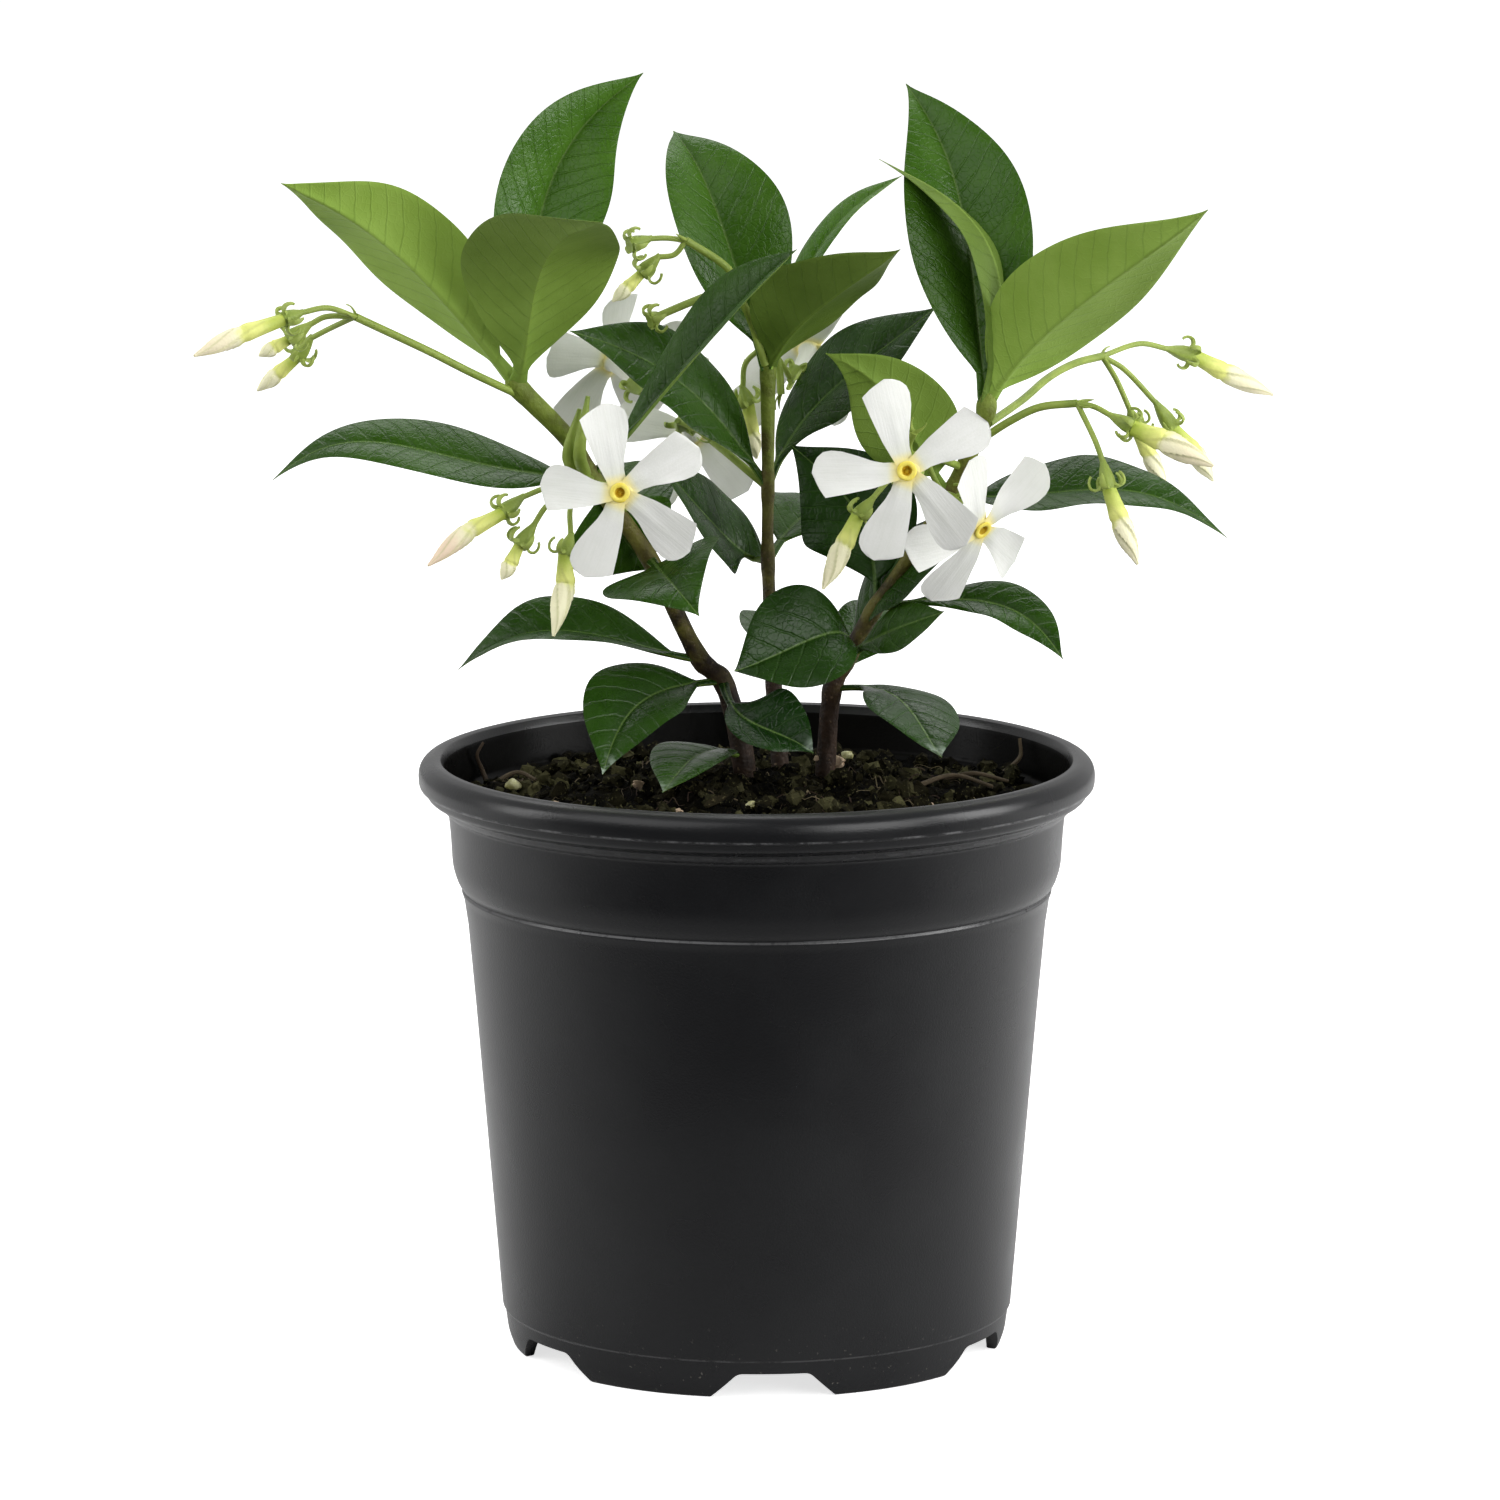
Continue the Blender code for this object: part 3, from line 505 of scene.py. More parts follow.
def shaped(form, squash, roughen, seed):
    """Points of a lump: a form's points squashed and roughened by noise."""
    points = []
    for corner in form:
        shift = noise.noise_vector(corner * 1.3 + Vector((seed, 0, seed))) * roughen
        points.append([a * b for a, b in zip(corner + shift, squash)])
    return np.array(points)


def ball(level):
    """Points and faces of a round ball of radius 1."""
    form = bmesh.new()
    bmesh.ops.create_icosphere(form, subdivisions=level, radius=1.0)
    points = [corner.co.copy() for corner in form.verts]
    faces = [[corner.index for corner in face.verts] for face in form.faces]
    form.free()
    return points, faces


def strew(skin, form, faces, middle, turn, size, tone):
    """Add a copy of a form at a place, turned by a matrix."""
    points = form * size @ np.array(turn).T + np.array(middle)
    numbers = skin.ring(points.tolist(), tone=tone)
    for face in faces:
        skin.face([numbers[corner] for corner in face])


def random_turn(draw, tilt=math.pi):
    """A random turn, tipped from upright by up to a tilt."""
    spin = Matrix.Rotation(draw.uniform(0, 2 * math.pi), 3, "Z")
    lean = Matrix.Rotation(draw.uniform(-tilt, tilt), 3, "X")
    return Matrix.Rotation(draw.uniform(0, 2 * math.pi), 3, "Z") @ lean @ spin


def random_spot(draw, reach=STREWN_REACH):
    """A random place on the mix, clear of the stems' feet."""
    while True:
        radius = reach * math.sqrt(draw.random())
        angle = draw.uniform(0, 2 * math.pi)
        spot = (radius * math.cos(angle), radius * math.sin(angle))
        if all(math.dist(spot, foot) > STEM_CLEARANCE for foot in STEM_FEET):
            return spot


def written(tree, name):
    """What the mesh says at each of its points: its layout or its tone."""
    made = node(tree, "Attribute", {}, attribute_name=name)
    return made["Vector"] if name == "layout" else made["Fac"]


def peat(name, dark, brown, pale, relief):
    """Crumbly, matt and almost black, with browner and paler patches."""
    finish, tree, shader, place = new_finish(name, 0.95, specular_ior_level=0.06)
    marks = patchy(tree, place, 230.0, 1500.0, 0.13)
    tone = written(tree, "tone")
    base = mixed(tree, marks["Patches"], dark, brown)
    bits = faded(tree, marks["Grain"], 0.60, 0.70)
    base = mixed(tree, times(tree, bits, 0.55), base, pale)
    base = mixed(tree, tone, base, pale)
    feed(tree, shader["Base Color"], base)
    bumped(tree, shader, marks["Grain"], relief)
    return finish


def mix_surface():
    """The filling itself, with its uneven top."""
    skin = Skin()
    top = [(MIX_EDGE_RADIUS * ring / MIX_RINGS, MIX_EDGE_HEIGHT) for ring in range(MIX_RINGS + 1)]
    turned(skin, top + list(MIX_SIDE), MIX_STEPS)
    last = 1 + MIX_RINGS * MIX_STEPS
    skin.places[:last] = [(x, y, mix_height(x, y)) for x, y, _ in skin.places[:last]]
    # The mix's near-black is partly the peat's own colour and partly painted shade from the pot's
    # lip
    dark, brown, pale = (0.0010, 0.0009, 0.0006), (0.0050, 0.0042, 0.0020), (0.030, 0.027, 0.012)
    return skin.piece("potting_mix_bed", peat("dark_peat", dark, brown, pale, 0.0006))


def strewn(name, finish, draw, forms, count, radii, rise, paleness, tilt=math.pi):
    """Lumps at random places. Radii are the least, what is added, and how rare large ones are."""
    skin = Skin()
    least, added, rarity = radii
    for number in range(count):
        x, y = random_spot(draw)
        size = least + added * draw.random() ** rarity
        middle = (x, y, mix_height(x, y) + rise * size)
        tone = paleness * draw.random() ** 5
        form = forms[number % len(forms)]
        strew(skin, form, LUMP_FACES, middle, random_turn(draw, tilt), size, tone)
    return skin.piece(name, finish)


LUMP_POINTS, LUMP_FACES = ball(2)


def crumbs():
    """Loose crumbs and clods of peat."""
    forms = [shaped(LUMP_POINTS, (1, 0.85, 0.7), 0.9, seed) for seed in range(10)]
    # The crumbs' near-black is partly their own colour and partly painted shade within the pot
    dark, brown, pale = (0.0012, 0.0011, 0.0007), (0.0120, 0.0105, 0.0048), (0.110, 0.105, 0.048)
    return strewn(
        "peat_crumbs",
        peat("crumb_peat", dark, brown, pale, 0.0003),
        random.Random(11),
        forms,
        count=CRUMB_COUNT,
        radii=(0.3, 1.8, 3),
        rise=0.35,
        paleness=0.75,
    )


def bark_chips():
    """Flat chips of composted bark and wood."""
    forms = [shaped(LUMP_POINTS, (1.5, 0.75, 0.28), 0.6, seed + 40) for seed in range(8)]
    dark, brown, pale = (0.003, 0.0024, 0.0014), (0.016, 0.013, 0.006), (0.13, 0.110, 0.055)
    return strewn(
        "bark_chips",
        peat("composted_bark", dark, brown, pale, 0.0004),
        random.Random(23),
        forms,
        count=CHIP_COUNT,
        radii=(0.4, 1.0, 2),
        rise=0.25,
        paleness=0.9,
        tilt=0.7,
    )


for bed in (mix_surface(), crumbs(), bark_chips()):
    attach(bed, "root")
    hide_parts("potting_mix")


# Dry fibres, twigs and feed beads on the mix
# Thin roots and straw-like fibres lie loose among the crumbs, with six dead twigs, a few chips of
# pale wood and beads of coated feed. Each lies where it fell when the pot was filled.

FIBRE_COUNT = 210
FIBRE_KNOTS = 7
FIBRE_REACH = 49.0
FIBRE_LENGTHS = (2.0, 9.0)
FIBRE_RADII = (0.06, 0.16)
TWIG_RADIUS = 0.48
TWIG_TAPER = 0.08

# The first twig leans on the pot's wall, and the others lie on the mix
TWIGS = (
    ((-48.5, 20.0, 97.5), (-49.5, 21.5, 99.8), (-50.3, 20.5, 102.4), (-49.2, 21.5, 104.6)),
    ((-47.5, 12.0, 98.5), (-43.0, 14.0, 100.5), (-39.5, 12.0, 99.5)),
    ((-17.0, 14.0, 99.5), (-12.5, 12.0, 101.5), (-8.5, 13.0, 101.0)),
    ((44.0, 20.0, 99.0), (47.5, 24.0, 101.5), (47.5, 26.0, 104.5)),
    ((28.0, 4.0, 99.6), (35.0, 7.0, 101.2), (42.0, 4.5, 99.6)),
    ((34.0, 14.0, 99.3), (39.0, 11.0, 100.8), (45.0, 12.0, 99.2)),
)

# Middle, size, turn about each axis in radians, and tone from brown to pale
WOOD_CHIPS = (
    ((14.0, 17.0, 101.8), 2.3, (0.9, 0.3, 2.1), 0.95),
    ((11.2, 12.5, 103.2), 1.1, (0.4, 0.2, 0.3), 0.8),
    ((-27.0, -16.5, 99.3), 1.4, (0.2, 0.8, 0.9), 1.0),
    ((-13.5, -20.5, 99.6), 1.1, (0.7, 0.1, 1.9), 0.9),
    ((-35.0, -10.5, 99.0), 1.5, (0.1, 0.3, 0.6), 0.75),
    ((30.0, -12.0, 99.0), 1.3, (0.5, 0.4, 2.4), 0.9),
    ((26.0, -24.0, 98.8), 1.0, (0.2, 0.6, 1.2), 0.8),
    ((-20.5, 2.0, 100.2), 1.7, (0.3, 0.5, 0.4), 0.65),
)
FEED_BEADS = (
    ((-43.5, 8.5, 99.2), 1.35, (0.0, 0.0, 0.0), 0.0),
    ((-1.0, -19.5, 100.6), 1.0, (0.0, 0.0, 0.0), 0.0),
    ((-38.0, -20.0, 98.9), 0.9, (0.0, 0.0, 0.0), 0.0),
    ((16.5, 38.0, 99.3), 1.1, (0.0, 0.0, 0.0), 0.0),
    ((-15.0, 41.0, 98.9), 1.0, (0.0, 0.0, 0.0), 0.0),
)


def eased(knots, steps):
    """A smooth line through knots: numbers of any length, such as (x, y, z, radius)."""
    knots = [np.array(knot, float) for knot in knots]
    gaps = [max(np.linalg.norm((b - a)[:3]), 1e-6) for a, b in zip(knots, knots[1:])]
    slopes = [(b - a) / gap for a, b, gap in zip(knots, knots[1:], gaps)]
    bends = [slopes[0]]
    for one, other, before, after in zip(slopes, slopes[1:], gaps, gaps[1:]):
        bends.append((one * before + other * after) / (before + after))
    bends.append(slopes[-1])
    line = []
    for number, gap in enumerate(gaps):
        for step in range(steps + (number == len(gaps) - 1)):
            t = step / steps
            start, end = knots[number], knots[number + 1]
            place = start * (1 + 2 * t) * (1 - t) ** 2 + end * t * t * (3 - 2 * t)
            place += gap * (bends[number] * t * (1 - t) ** 2 - bends[number + 1] * t * t * (1 - t))
            line.append(place)
    return line


def framed(line):
    """Each knot of a line, its distance from the start, and two directions across the line."""
    across, gone = Vector((0.31, 0.87, 0.38)), 0.0
    for number, knot in enumerate(line):
        before, after = line[max(number - 1, 0)], line[min(number + 1, len(line) - 1)]
        ahead = Vector((after - before)[:3]).normalized()
        across = (across - ahead * across.dot(ahead)).normalized()
        gone += np.linalg.norm((knot - before)[:3])
        yield knot, gone, across, ahead.cross(across)


def swept(skin, line, sides, tone=0.0, relief=None, slot=0):
    """A round bar along a line of (x, y, z, radius), with relief(place) added to its radius."""
    rings = []
    whole = sum(np.linalg.norm((b - a)[:3]) for a, b in zip(line, line[1:]))
    for knot, gone, across, other in framed(line):
        middle = Vector(knot[:3])
        ring, layout = [], []
        for side in range(sides):
            angle = 2 * math.pi * side / sides
            out = across * math.cos(angle) + other * math.sin(angle)
            radius = knot[3]
            if relief:
                radius += relief(middle + out * radius)
            ring.append(middle + out * radius)
            layout.append((gone, angle * knot[3], gone / whole))
        rings.append(skin.ring(ring, layout, tone))
    skin.loft(rings, [slot] * sides)


def dry_fibre():
    """Straw-coloured to red-brown, each fibre by its tone."""
    finish, tree, shader, place = new_finish("dry_fibre", 0.75, specular_ior_level=0.3)
    marks = patchy(tree, place, 300.0, 2500.0, 0.2)
    tone = written(tree, "tone")
    base = mixed(tree, tone, (0.030, 0.014, 0.008), (0.200, 0.165, 0.090))
    shade = times(tree, marks["Patches"], 0.45)
    feed(tree, shader["Base Color"], mixed(tree, shade, base, (0.02, 0.014, 0.008)))
    bumped(tree, shader, marks["Grain"], 0.0001)
    return finish


def fibres():
    """Loose fibres and dead twigs."""
    draw = random.Random(37)
    skin = Skin()
    for _ in range(FIBRE_COUNT):
        x, y = random_spot(draw, FIBRE_REACH)
        heading = draw.uniform(0, 2 * math.pi)
        length = draw.uniform(*FIBRE_LENGTHS)
        radius = draw.uniform(*FIBRE_RADII)
        stride = length / (FIBRE_KNOTS - 1)
        line = []
        for step in range(FIBRE_KNOTS):
            height = mix_height(x, y) + 0.35 + 0.9 * draw.random() * (step % 3 == 1)
            line.append((x, y, height, radius * (1 - 0.1 * step)))
            heading += draw.uniform(-0.6, 0.6)
            x += stride * math.cos(heading)
            y += stride * math.sin(heading)
            shrink = min(1.0, STREWN_REACH / max(math.hypot(x, y), 0.1))
            x, y = x * shrink, y * shrink
        swept(skin, eased(line, 2), 5, tone=draw.random() ** 1.5)
    for number, twig in enumerate(TWIGS):
        knots = [(*place, TWIG_RADIUS - TWIG_TAPER * step) for step, place in enumerate(twig)]
        swept(skin, eased(knots, 6), 8, tone=0.12 if number == 0 else 0.3)
    return skin.piece("fibres_and_twigs", dry_fibre())


def laid(name, finish, lumps, squash, roughen, seed):
    """Lumps laid at given places."""
    skin = Skin()
    points, faces = ball(3)
    for number, (middle, size, turn, tone) in enumerate(lumps):
        form = shaped(points, squash, roughen, seed + number)
        spun = Matrix.Rotation(turn[2], 3, "Z") @ Matrix.Rotation(turn[0], 3, "X")
        spun = spun @ Matrix.Rotation(turn[1], 3, "Y")
        strew(skin, form, faces, middle, spun, size, tone)
    return skin.piece(name, finish)


def wood_chips():
    """Pale chips of wood that stand out on the dark mix."""
    dark, brown, pale = (0.12, 0.08, 0.045), (0.28, 0.19, 0.12), (0.52, 0.40, 0.28)
    pale_wood = peat("pale_wood", dark, brown, pale, 0.0002)
    return laid("wood_chips", pale_wood, WOOD_CHIPS, (1.0, 0.55, 0.45), 0.5, 70)


def feed_beads():
    """Resin-coated beads of slow feed, yellow-green and a little glossy."""
    finish, tree, shader, place = new_finish("feed_coating", 0.35)
    marks = patchy(tree, place, 700.0, 3000.0, 0.2)
    base = mixed(tree, marks["Patches"], (0.22, 0.21, 0.07), (0.50, 0.49, 0.26))
    feed(tree, shader["Base Color"], base)
    bumped(tree, shader, marks["Grain"], 0.0001)
    return laid("feed_beads", finish, FEED_BEADS, (1.0, 0.85, 0.8), 0.35, 90)


for loose in (fibres(), wood_chips(), feed_beads()):
    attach(loose, "root")


# Stems
# Three woody stems, brown and ribbed at the foot and green towards the crown, where they are
# this year's growth. A swollen joint marks each pair of leaves, and they are rooted in the mix.

# Places where leaves grow, in pairs
JOINTS = {
    "left_collar": (-2.5, 10, 104),
    "left_low": (-6, 8, 118),
    "left_node": (-10, 7, 122),
    "left_mid": (-19, 2, 141),
    "left_upper": (-29, -2, 156),
    "left_crown": (-42, -8, 173),
    "middle_low": (3, 20, 116),
    "middle_mid": (2, 20, 138),
    "middle_upper": (2, 21, 151),
    "middle_crown": (2, 22, 172),
    "right_low": (13.5, 12, 116),
    "right_node": (16, 11, 121.5),
    "right_mid": (21, 9, 131),
    "right_upper": (34, 4, 152),
    "right_crown": (40.5, 0, 169),
}

# Middle and radius from below the mix to the crown
STEMS = {
    "left": (
        (-2, 12, 90, 2.1),
        (-2.5, 10, 104, 1.95),
        (-6, 8, 118, 1.7),
        (-10, 7, 122, 1.6),
        (-19, 2, 141, 1.45),
        (-29, -2, 156, 1.55),
        (-33, -4, 163, 1.6),
        (-42, -8, 173, 1.7),
        (-43.0, -8.5, 174.4, 1.1),
    ),
    "middle": (
        (5, 20, 90, 1.7),
        (4, 20, 104, 1.55),
        (3, 20, 116, 1.35),
        (2, 20, 138, 1.1),
        (2, 21, 151, 1.05),
        (2, 22, 172, 1.3),
        (2, 22.2, 173.8, 0.7),
    ),
    "right": (
        (11.5, 14, 90, 1.9),
        (12.5, 13, 104, 1.75),
        (13.5, 12, 116, 1.6),
        (16, 11, 121.5, 1.55),
        (21, 9, 131, 1.4),
        (25.5, 7, 138, 1.3),
        (34, 4, 152, 1.4),
        (40, 0, 166, 1.55),
        (40.5, 0, 169, 1.6),
        (40.7, 0, 170.8, 0.8),
    ),
}
STEM_SIDES = 28
STEM_STEPS = 14
JOINT_SWELLING = 0.2
JOINT_REACH = 1.3
RIB_DEPTH = 0.14
WOODY_TO = 150


def stem_relief(side):
    """Swollen joints, and bark ribs that are strongest at the foot."""
    joints = [Vector(place) for name, place in JOINTS.items() if name.startswith(side)]

    def relief(place):
        nearest = min((joint - place).length for joint in joints)
        woody = min(max((WOODY_TO - place.z) / 45, 0.15), 1.0)
        ribs = noise.fractal(Vector((place.x, place.y, place.z / 4)) / 1.1, 0.8, 2.0, 3)
        swollen = JOINT_SWELLING * math.exp(-((max(nearest - 1.6, 0) / JOINT_REACH) ** 2))
        return RIB_DEPTH * woody * ribs + swollen

    return relief


def stem_bark():
    """Brown bark with pale pores at the foot, passing to green skin in the crown."""
    finish, tree, shader, place = new_finish("jasmine_bark", 0.6, specular_ior_level=0.35)
    marks = patchy(tree, place, 240.0, 1700.0, 0.18)
    height = parts_of(tree, place)["Z"]
    uneven = maths(tree, "MULTIPLY_ADD", marks["Patches"], 0.014, height)
    brown = mixed(tree, marks["Patches"], (0.016, 0.009, 0.005), (0.046, 0.024, 0.012))
    olive = mixed(tree, marks["Patches"], (0.080, 0.066, 0.012), (0.140, 0.130, 0.022))
    green = mixed(tree, marks["Patches"], (0.130, 0.180, 0.018), (0.200, 0.260, 0.034))
    base = mixed(tree, faded(tree, uneven, 0.124, 0.150), brown, olive)
    base = mixed(tree, faded(tree, uneven, 0.156, 0.178), base, green)
    pores = faded(tree, speckle(tree, place, 1100.0, 1.0), 0.66, 0.74)
    pores = times(tree, pores, faded(tree, height, 0.165, 0.120, 0.0, 0.6))
    feed(tree, shader["Base Color"], mixed(tree, pores, base, (0.20, 0.14, 0.08)))
    bumped(tree, shader, marks["Grain"], 0.00025)
    return finish


BARK = stem_bark()
for side, knots in STEMS.items():
    skin = Skin()
    swept(skin, eased(knots, STEM_STEPS), STEM_SIDES, relief=stem_relief(side))
    stem = skin.piece(f"woody_stem_{side}", BARK)
    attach(stem, "root")
    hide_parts(f"leafy_stem_{side}")


# Leaves
# Leathery evergreen leaves in opposite pairs: glossy dark green above, paler and matt below, with
# a sunken midrib and feathered side veins. Each stands on a short stalk that grows from its stem.

# Stalk, blade and midrib in millimetres
PETIOLE_LENGTH = 5.0
PETIOLE_RADII = {"crown": 1.30, "lower": 0.70}
PETIOLE_FLARE = 0.35
BLADE_THICKNESS = 0.46
EDGE_THICKNESS = 0.07
MIDRIB_HALF_WIDTH = 0.55
MIDRIB_GROOVE = 0.16
MIDRIB_RIDGE = 0.42
QUILT_DEPTH = 0.075
TANGENT_STEP = 0.01
LEAF_ROWS = 46
STALK_ROWS = 4
LEAF_COLUMNS = (0.03, 0.07, 0.13, 0.24, 0.38, 0.54, 0.70, 0.84, 0.94, 1.0)

# Side veins: millimetres between them, and how they lean and curve towards the tip
VEIN_SPACING = 3.7
VEIN_SLOPE = 0.68
VEIN_CURVE = 0.018

# Joint, reach to the tip, bow of the midrib, width, the way the upper side faces, fold along
# the midrib in degrees, widest point, crest of the bow, and tone from old (0) to young (1)
LEAVES = {
    "left": (
        ("left_crown", (-40, -14, 37), (-1, 1, 6), 22, (0.2, 0.8, 0.5), 24, 0.40, 0.50, 0.80),
        ("left_crown", (16, -48, 34), (-4, 10, 4), 28, (0.0, 0.6, 0.8), 15, 0.49, 0.60, 0.47),
        ("left_crown", (22, 20, 53), (-6, 0, 6), 23, (0.3, -0.9, 0.25), 30, 0.45, 0.55, 0.60),
        ("left_upper", (-56, -3, 0), (-1, -3, 7), 16, (0.0, -0.5, 0.9), 6, 0.40, 0.70, 0.30),
        ("left_upper", (36, -6, 41), (4, 1, 6), 15, (-0.76, -0.38, 0.52), 26, 0.48, 0.50, 0.30),
        ("left_upper", (10, 10, -18), (-1, -1, 0), 21, (0.3, -0.9, -0.3), 5, 0.45, 0.50, 0.35),
        ("left_mid", (9, -27, -6), (-2, -3, 3), 23, (-0.4, -0.3, 0.9), 13, 0.42, 0.70, 0.25),
        ("left_mid", (-8, 32, 12), (0, 2, 4), 17, (0.0, -0.4, 0.9), 12, 0.43, 0.50, 0.30),
        ("left_node", (-43, -5, -1), (-2, -5, 7), 16, (0.0, -0.4, 0.9), 24, 0.41, 0.58, 0.18),
        ("left_low", (-21, -27, -12), (-4, 2, 4), 19, (0.1, -0.4, 0.9), 19, 0.45, 0.50, 0.14),
        ("left_low", (16, -17, -10), (-2, -6, -1), 16, (-0.1, -0.6, 0.8), 26, 0.50, 0.33, 0.00),
        ("left_collar", (-14, -30, -1), (-1, 2, 3), 15, (0.0, -0.1, 1.0), 10, 0.46, 0.46, 0.20),
    ),
    "middle": (
        ("middle_crown", (-17, 18, 41), (0, -6, 6), 24, (0.3, -0.8, 0.5), 25, 0.41, 0.59, 0.50),
        ("middle_crown", (23, -30, 25), (-4, 3, -1), 22, (0.0, 0.6, 0.8), 29, 0.44, 0.46, 0.28),
        ("middle_crown", (24, 8, 34), (-2, 3, 5), 10, (-0.7, -0.3, 0.6), 12, 0.47, 0.50, 0.80),
        ("middle_upper", (-35, -15, 30), (2, 5, 4), 19, (0.7, -0.5, 0.5), 8, 0.44, 0.50, 0.30),
        ("middle_upper", (30, 4, 32), (-4, 6, 0), 21, (-0.6, -0.5, 0.6), 7, 0.54, 0.42, 0.15),
        ("middle_mid", (-21, -13, 21), (2, 9, -6), 18, (0.8, -0.4, 0.5), 8, 0.38, 0.40, 0.15),
        ("middle_mid", (14, 26, 4), (0, 2, 4), 17, (0.0, -0.4, 0.9), 12, 0.43, 0.50, 0.30),
        ("middle_low", (4, 28, 6), (0, 2, 4), 17, (0.0, -0.4, 0.9), 12, 0.43, 0.50, 0.20),
    ),
    "right": (
        ("right_crown", (-14, 24, 54), (3, -2, 5), 24, (0.1, -0.9, 0.4), 22, 0.41, 0.57, 0.48),
        ("right_crown", (37, -27, 37), (-4, 5, -1), 24, (0.1, 0.8, 0.6), 28, 0.42, 0.42, 0.68),
        ("right_crown", (-19, 10, 42), (10, -4, 5), 10, (-0.8, 0.4, -0.5), 11, 0.41, 0.52, 0.24),
        ("right_upper", (-22, -14, 27), (2, -1, 3), 18, (-0.1, 0.9, 0.4), 4, 0.33, 0.62, 0.45),
        ("right_upper", (49, -4, -7), (0, -3, 6), 18, (0.1, -0.4, 0.9), 13, 0.37, 0.66, 0.20),
        ("right_mid", (33, -13, -7), (5, 1, 5), 11, (0.0, -0.5, 0.9), 13, 0.49, 0.50, 0.20),
        ("right_mid", (-15, 10, 28), (5, 1, 1), 22, (-0.1, -1.0, 0.3), 10, 0.45, 0.50, 0.10),
        ("right_node", (17, -15, 11), (-1, -2, 1), 10, (-0.7, -0.5, 0.5), 3, 0.49, 0.42, 0.25),
        ("right_node", (25, -12, 27), (-4, 5, 2), 18, (-0.8, -0.35, 0.55), 3, 0.47, 0.48, 0.15),
        ("right_node", (-20, -19, 1), (5, -3, 6), 21, (0.5, -0.5, 0.6), 19, 0.49, 0.37, 0.10),
        ("right_low", (19, -25, -8), (3, 4, 3), 18, (0.2, -0.1, 1.0), 5, 0.49, 0.42, 0.08),
        ("right_low", (16, 24, 9), (0, 2, 4), 16, (0.0, -0.4, 0.9), 12, 0.43, 0.50, 0.20),
    ),
}


def arch(u, crest):
    """Height of a bow at u: 0 at both ends and 1 at its crest."""
    if crest >= 0.5:
        return math.sin(math.pi * u ** (math.log(0.5) / math.log(crest)))
    return math.sin(math.pi * (1 - (1 - u) ** (math.log(0.5) / math.log(1 - crest))))


def soft_step(value, start, end):
    """0 before start, 1 after end and smooth between."""
    t = min(max((value - start) / (end - start), 0.0), 1.0)
    return t * t * (3 - 2 * t)


def thin_ring(upper, lower):
    """A closed ring round a thin blade, from its upper and lower points."""
    return upper + lower[-2:0:-1]


def grow_leaf(skin, leaf, draw):
    """Add one leaf: a folded, gently waved blade on its stalk, thinner towards its margins."""
    joint, reach, bow, width, facing, fold, widest, crest, tone = leaf
    root, reach, bow, facing = Vector(JOINTS[joint]), Vector(reach), Vector(bow), Vector(facing)
    stalk = PETIOLE_LENGTH / reach.length
    power = math.log(0.5) / math.log(widest)
    stout = PETIOLE_RADII["crown" if joint.endswith("crown") else "lower"]
    fold = math.radians(fold)
    wave = width * draw.uniform(0.012, 0.024)
    beats = draw.uniform(1.6, 2.6)
    phases = (draw.uniform(0, 6.28), draw.uniform(0, 6.28))
    shares = [stalk * row / STALK_ROWS for row in range(STALK_ROWS)]
    shares += [stalk + (1 - stalk) * row / LEAF_ROWS for row in range(LEAF_ROWS + 1)]
    across = [-v for v in reversed(LEAF_COLUMNS)] + [0.0] + list(LEAF_COLUMNS)

    def midrib(u):
        return root + reach * u + bow * arch(u, crest)

    rings = []
    for u in shares:
        ahead = midrib(min(u + TANGENT_STEP, 1.0)) - midrib(max(u - TANGENT_STEP, 0.0))
        side = ahead.cross(facing).normalized()
        rise = side.cross(ahead).normalized()
        s = min(max((u - stalk) / (1 - stalk), 0.0), 1.0)
        shape = max(math.sin(math.pi * s**power), 0.0) ** (1 + 0.2 * s)
        blade = width / 2 * shape
        foot = stout * (1 + PETIOLE_FLARE * (1 - soft_step(u, 0.0, stalk)))
        half = math.hypot(blade, foot * (1 - soft_step(s, 0.2, 1.0)) + 0.06)
        leafy = soft_step(blade, 0.3, 3.0)
        along = (u - stalk) * reach.length
        upper, lower, layout = [], [], []
        for v in across:
            edge = abs(v)
            ridge = math.exp(-((v * half / MIDRIB_HALF_WIDTH) ** 2))
            bend = math.sqrt(v * v + 0.0025) - 0.05
            place = midrib(u) + side * (v * math.cos(fold) * half)
            swell = 0.2 * edge * (1 - edge)
            beat = math.sin(2 * math.pi * beats * s + phases[v > 0])
            lift = (bend * math.sin(fold) + swell * leafy) * half
            lift += wave * leafy * edge**2 * beat * math.sin(math.pi * s)
            vein = along - edge * half * VEIN_SLOPE - VEIN_CURVE * (edge * half) ** 2
            quilt = math.cos(2 * math.pi * vein / VEIN_SPACING)
            lift -= QUILT_DEPTH * leafy * math.sin(math.pi * edge) * quilt
            place += rise * lift
            tilt = math.tanh(v / 0.06) * fold
            out = rise * math.cos(tilt) - side * math.sin(tilt)
            thick = BLADE_THICKNESS * math.sqrt(max(1 - edge**2.4, 0.0)) * leafy + EDGE_THICKNESS
            rounding = 1.05 * math.sqrt(max(1 - v * v, 0.0)) * (1 - soft_step(s, 0.1, 0.5))
            thick += (1 - leafy) * rounding
            top = thick / 2 - MIDRIB_GROOVE * ridge * leafy
            under = thick / 2 + MIDRIB_RIDGE * ridge * leafy * (1 - 0.75 * s)
            upper.append(place + out * top)
            lower.append(place - out * under)
            layout.append((along, v * half, s))
        rings.append(skin.ring(thin_ring(upper, lower), thin_ring(layout, layout), tone))
    columns = len(across) - 1
    skin.loft(rings, [0] * columns + [1] * columns)


def built_up(tree, start, *layers):
    """A value with layers added to it, each a value and the share of it that is added."""
    for value, share in layers:
        start = maths(tree, "MULTIPLY_ADD", value, share, start)
    return start


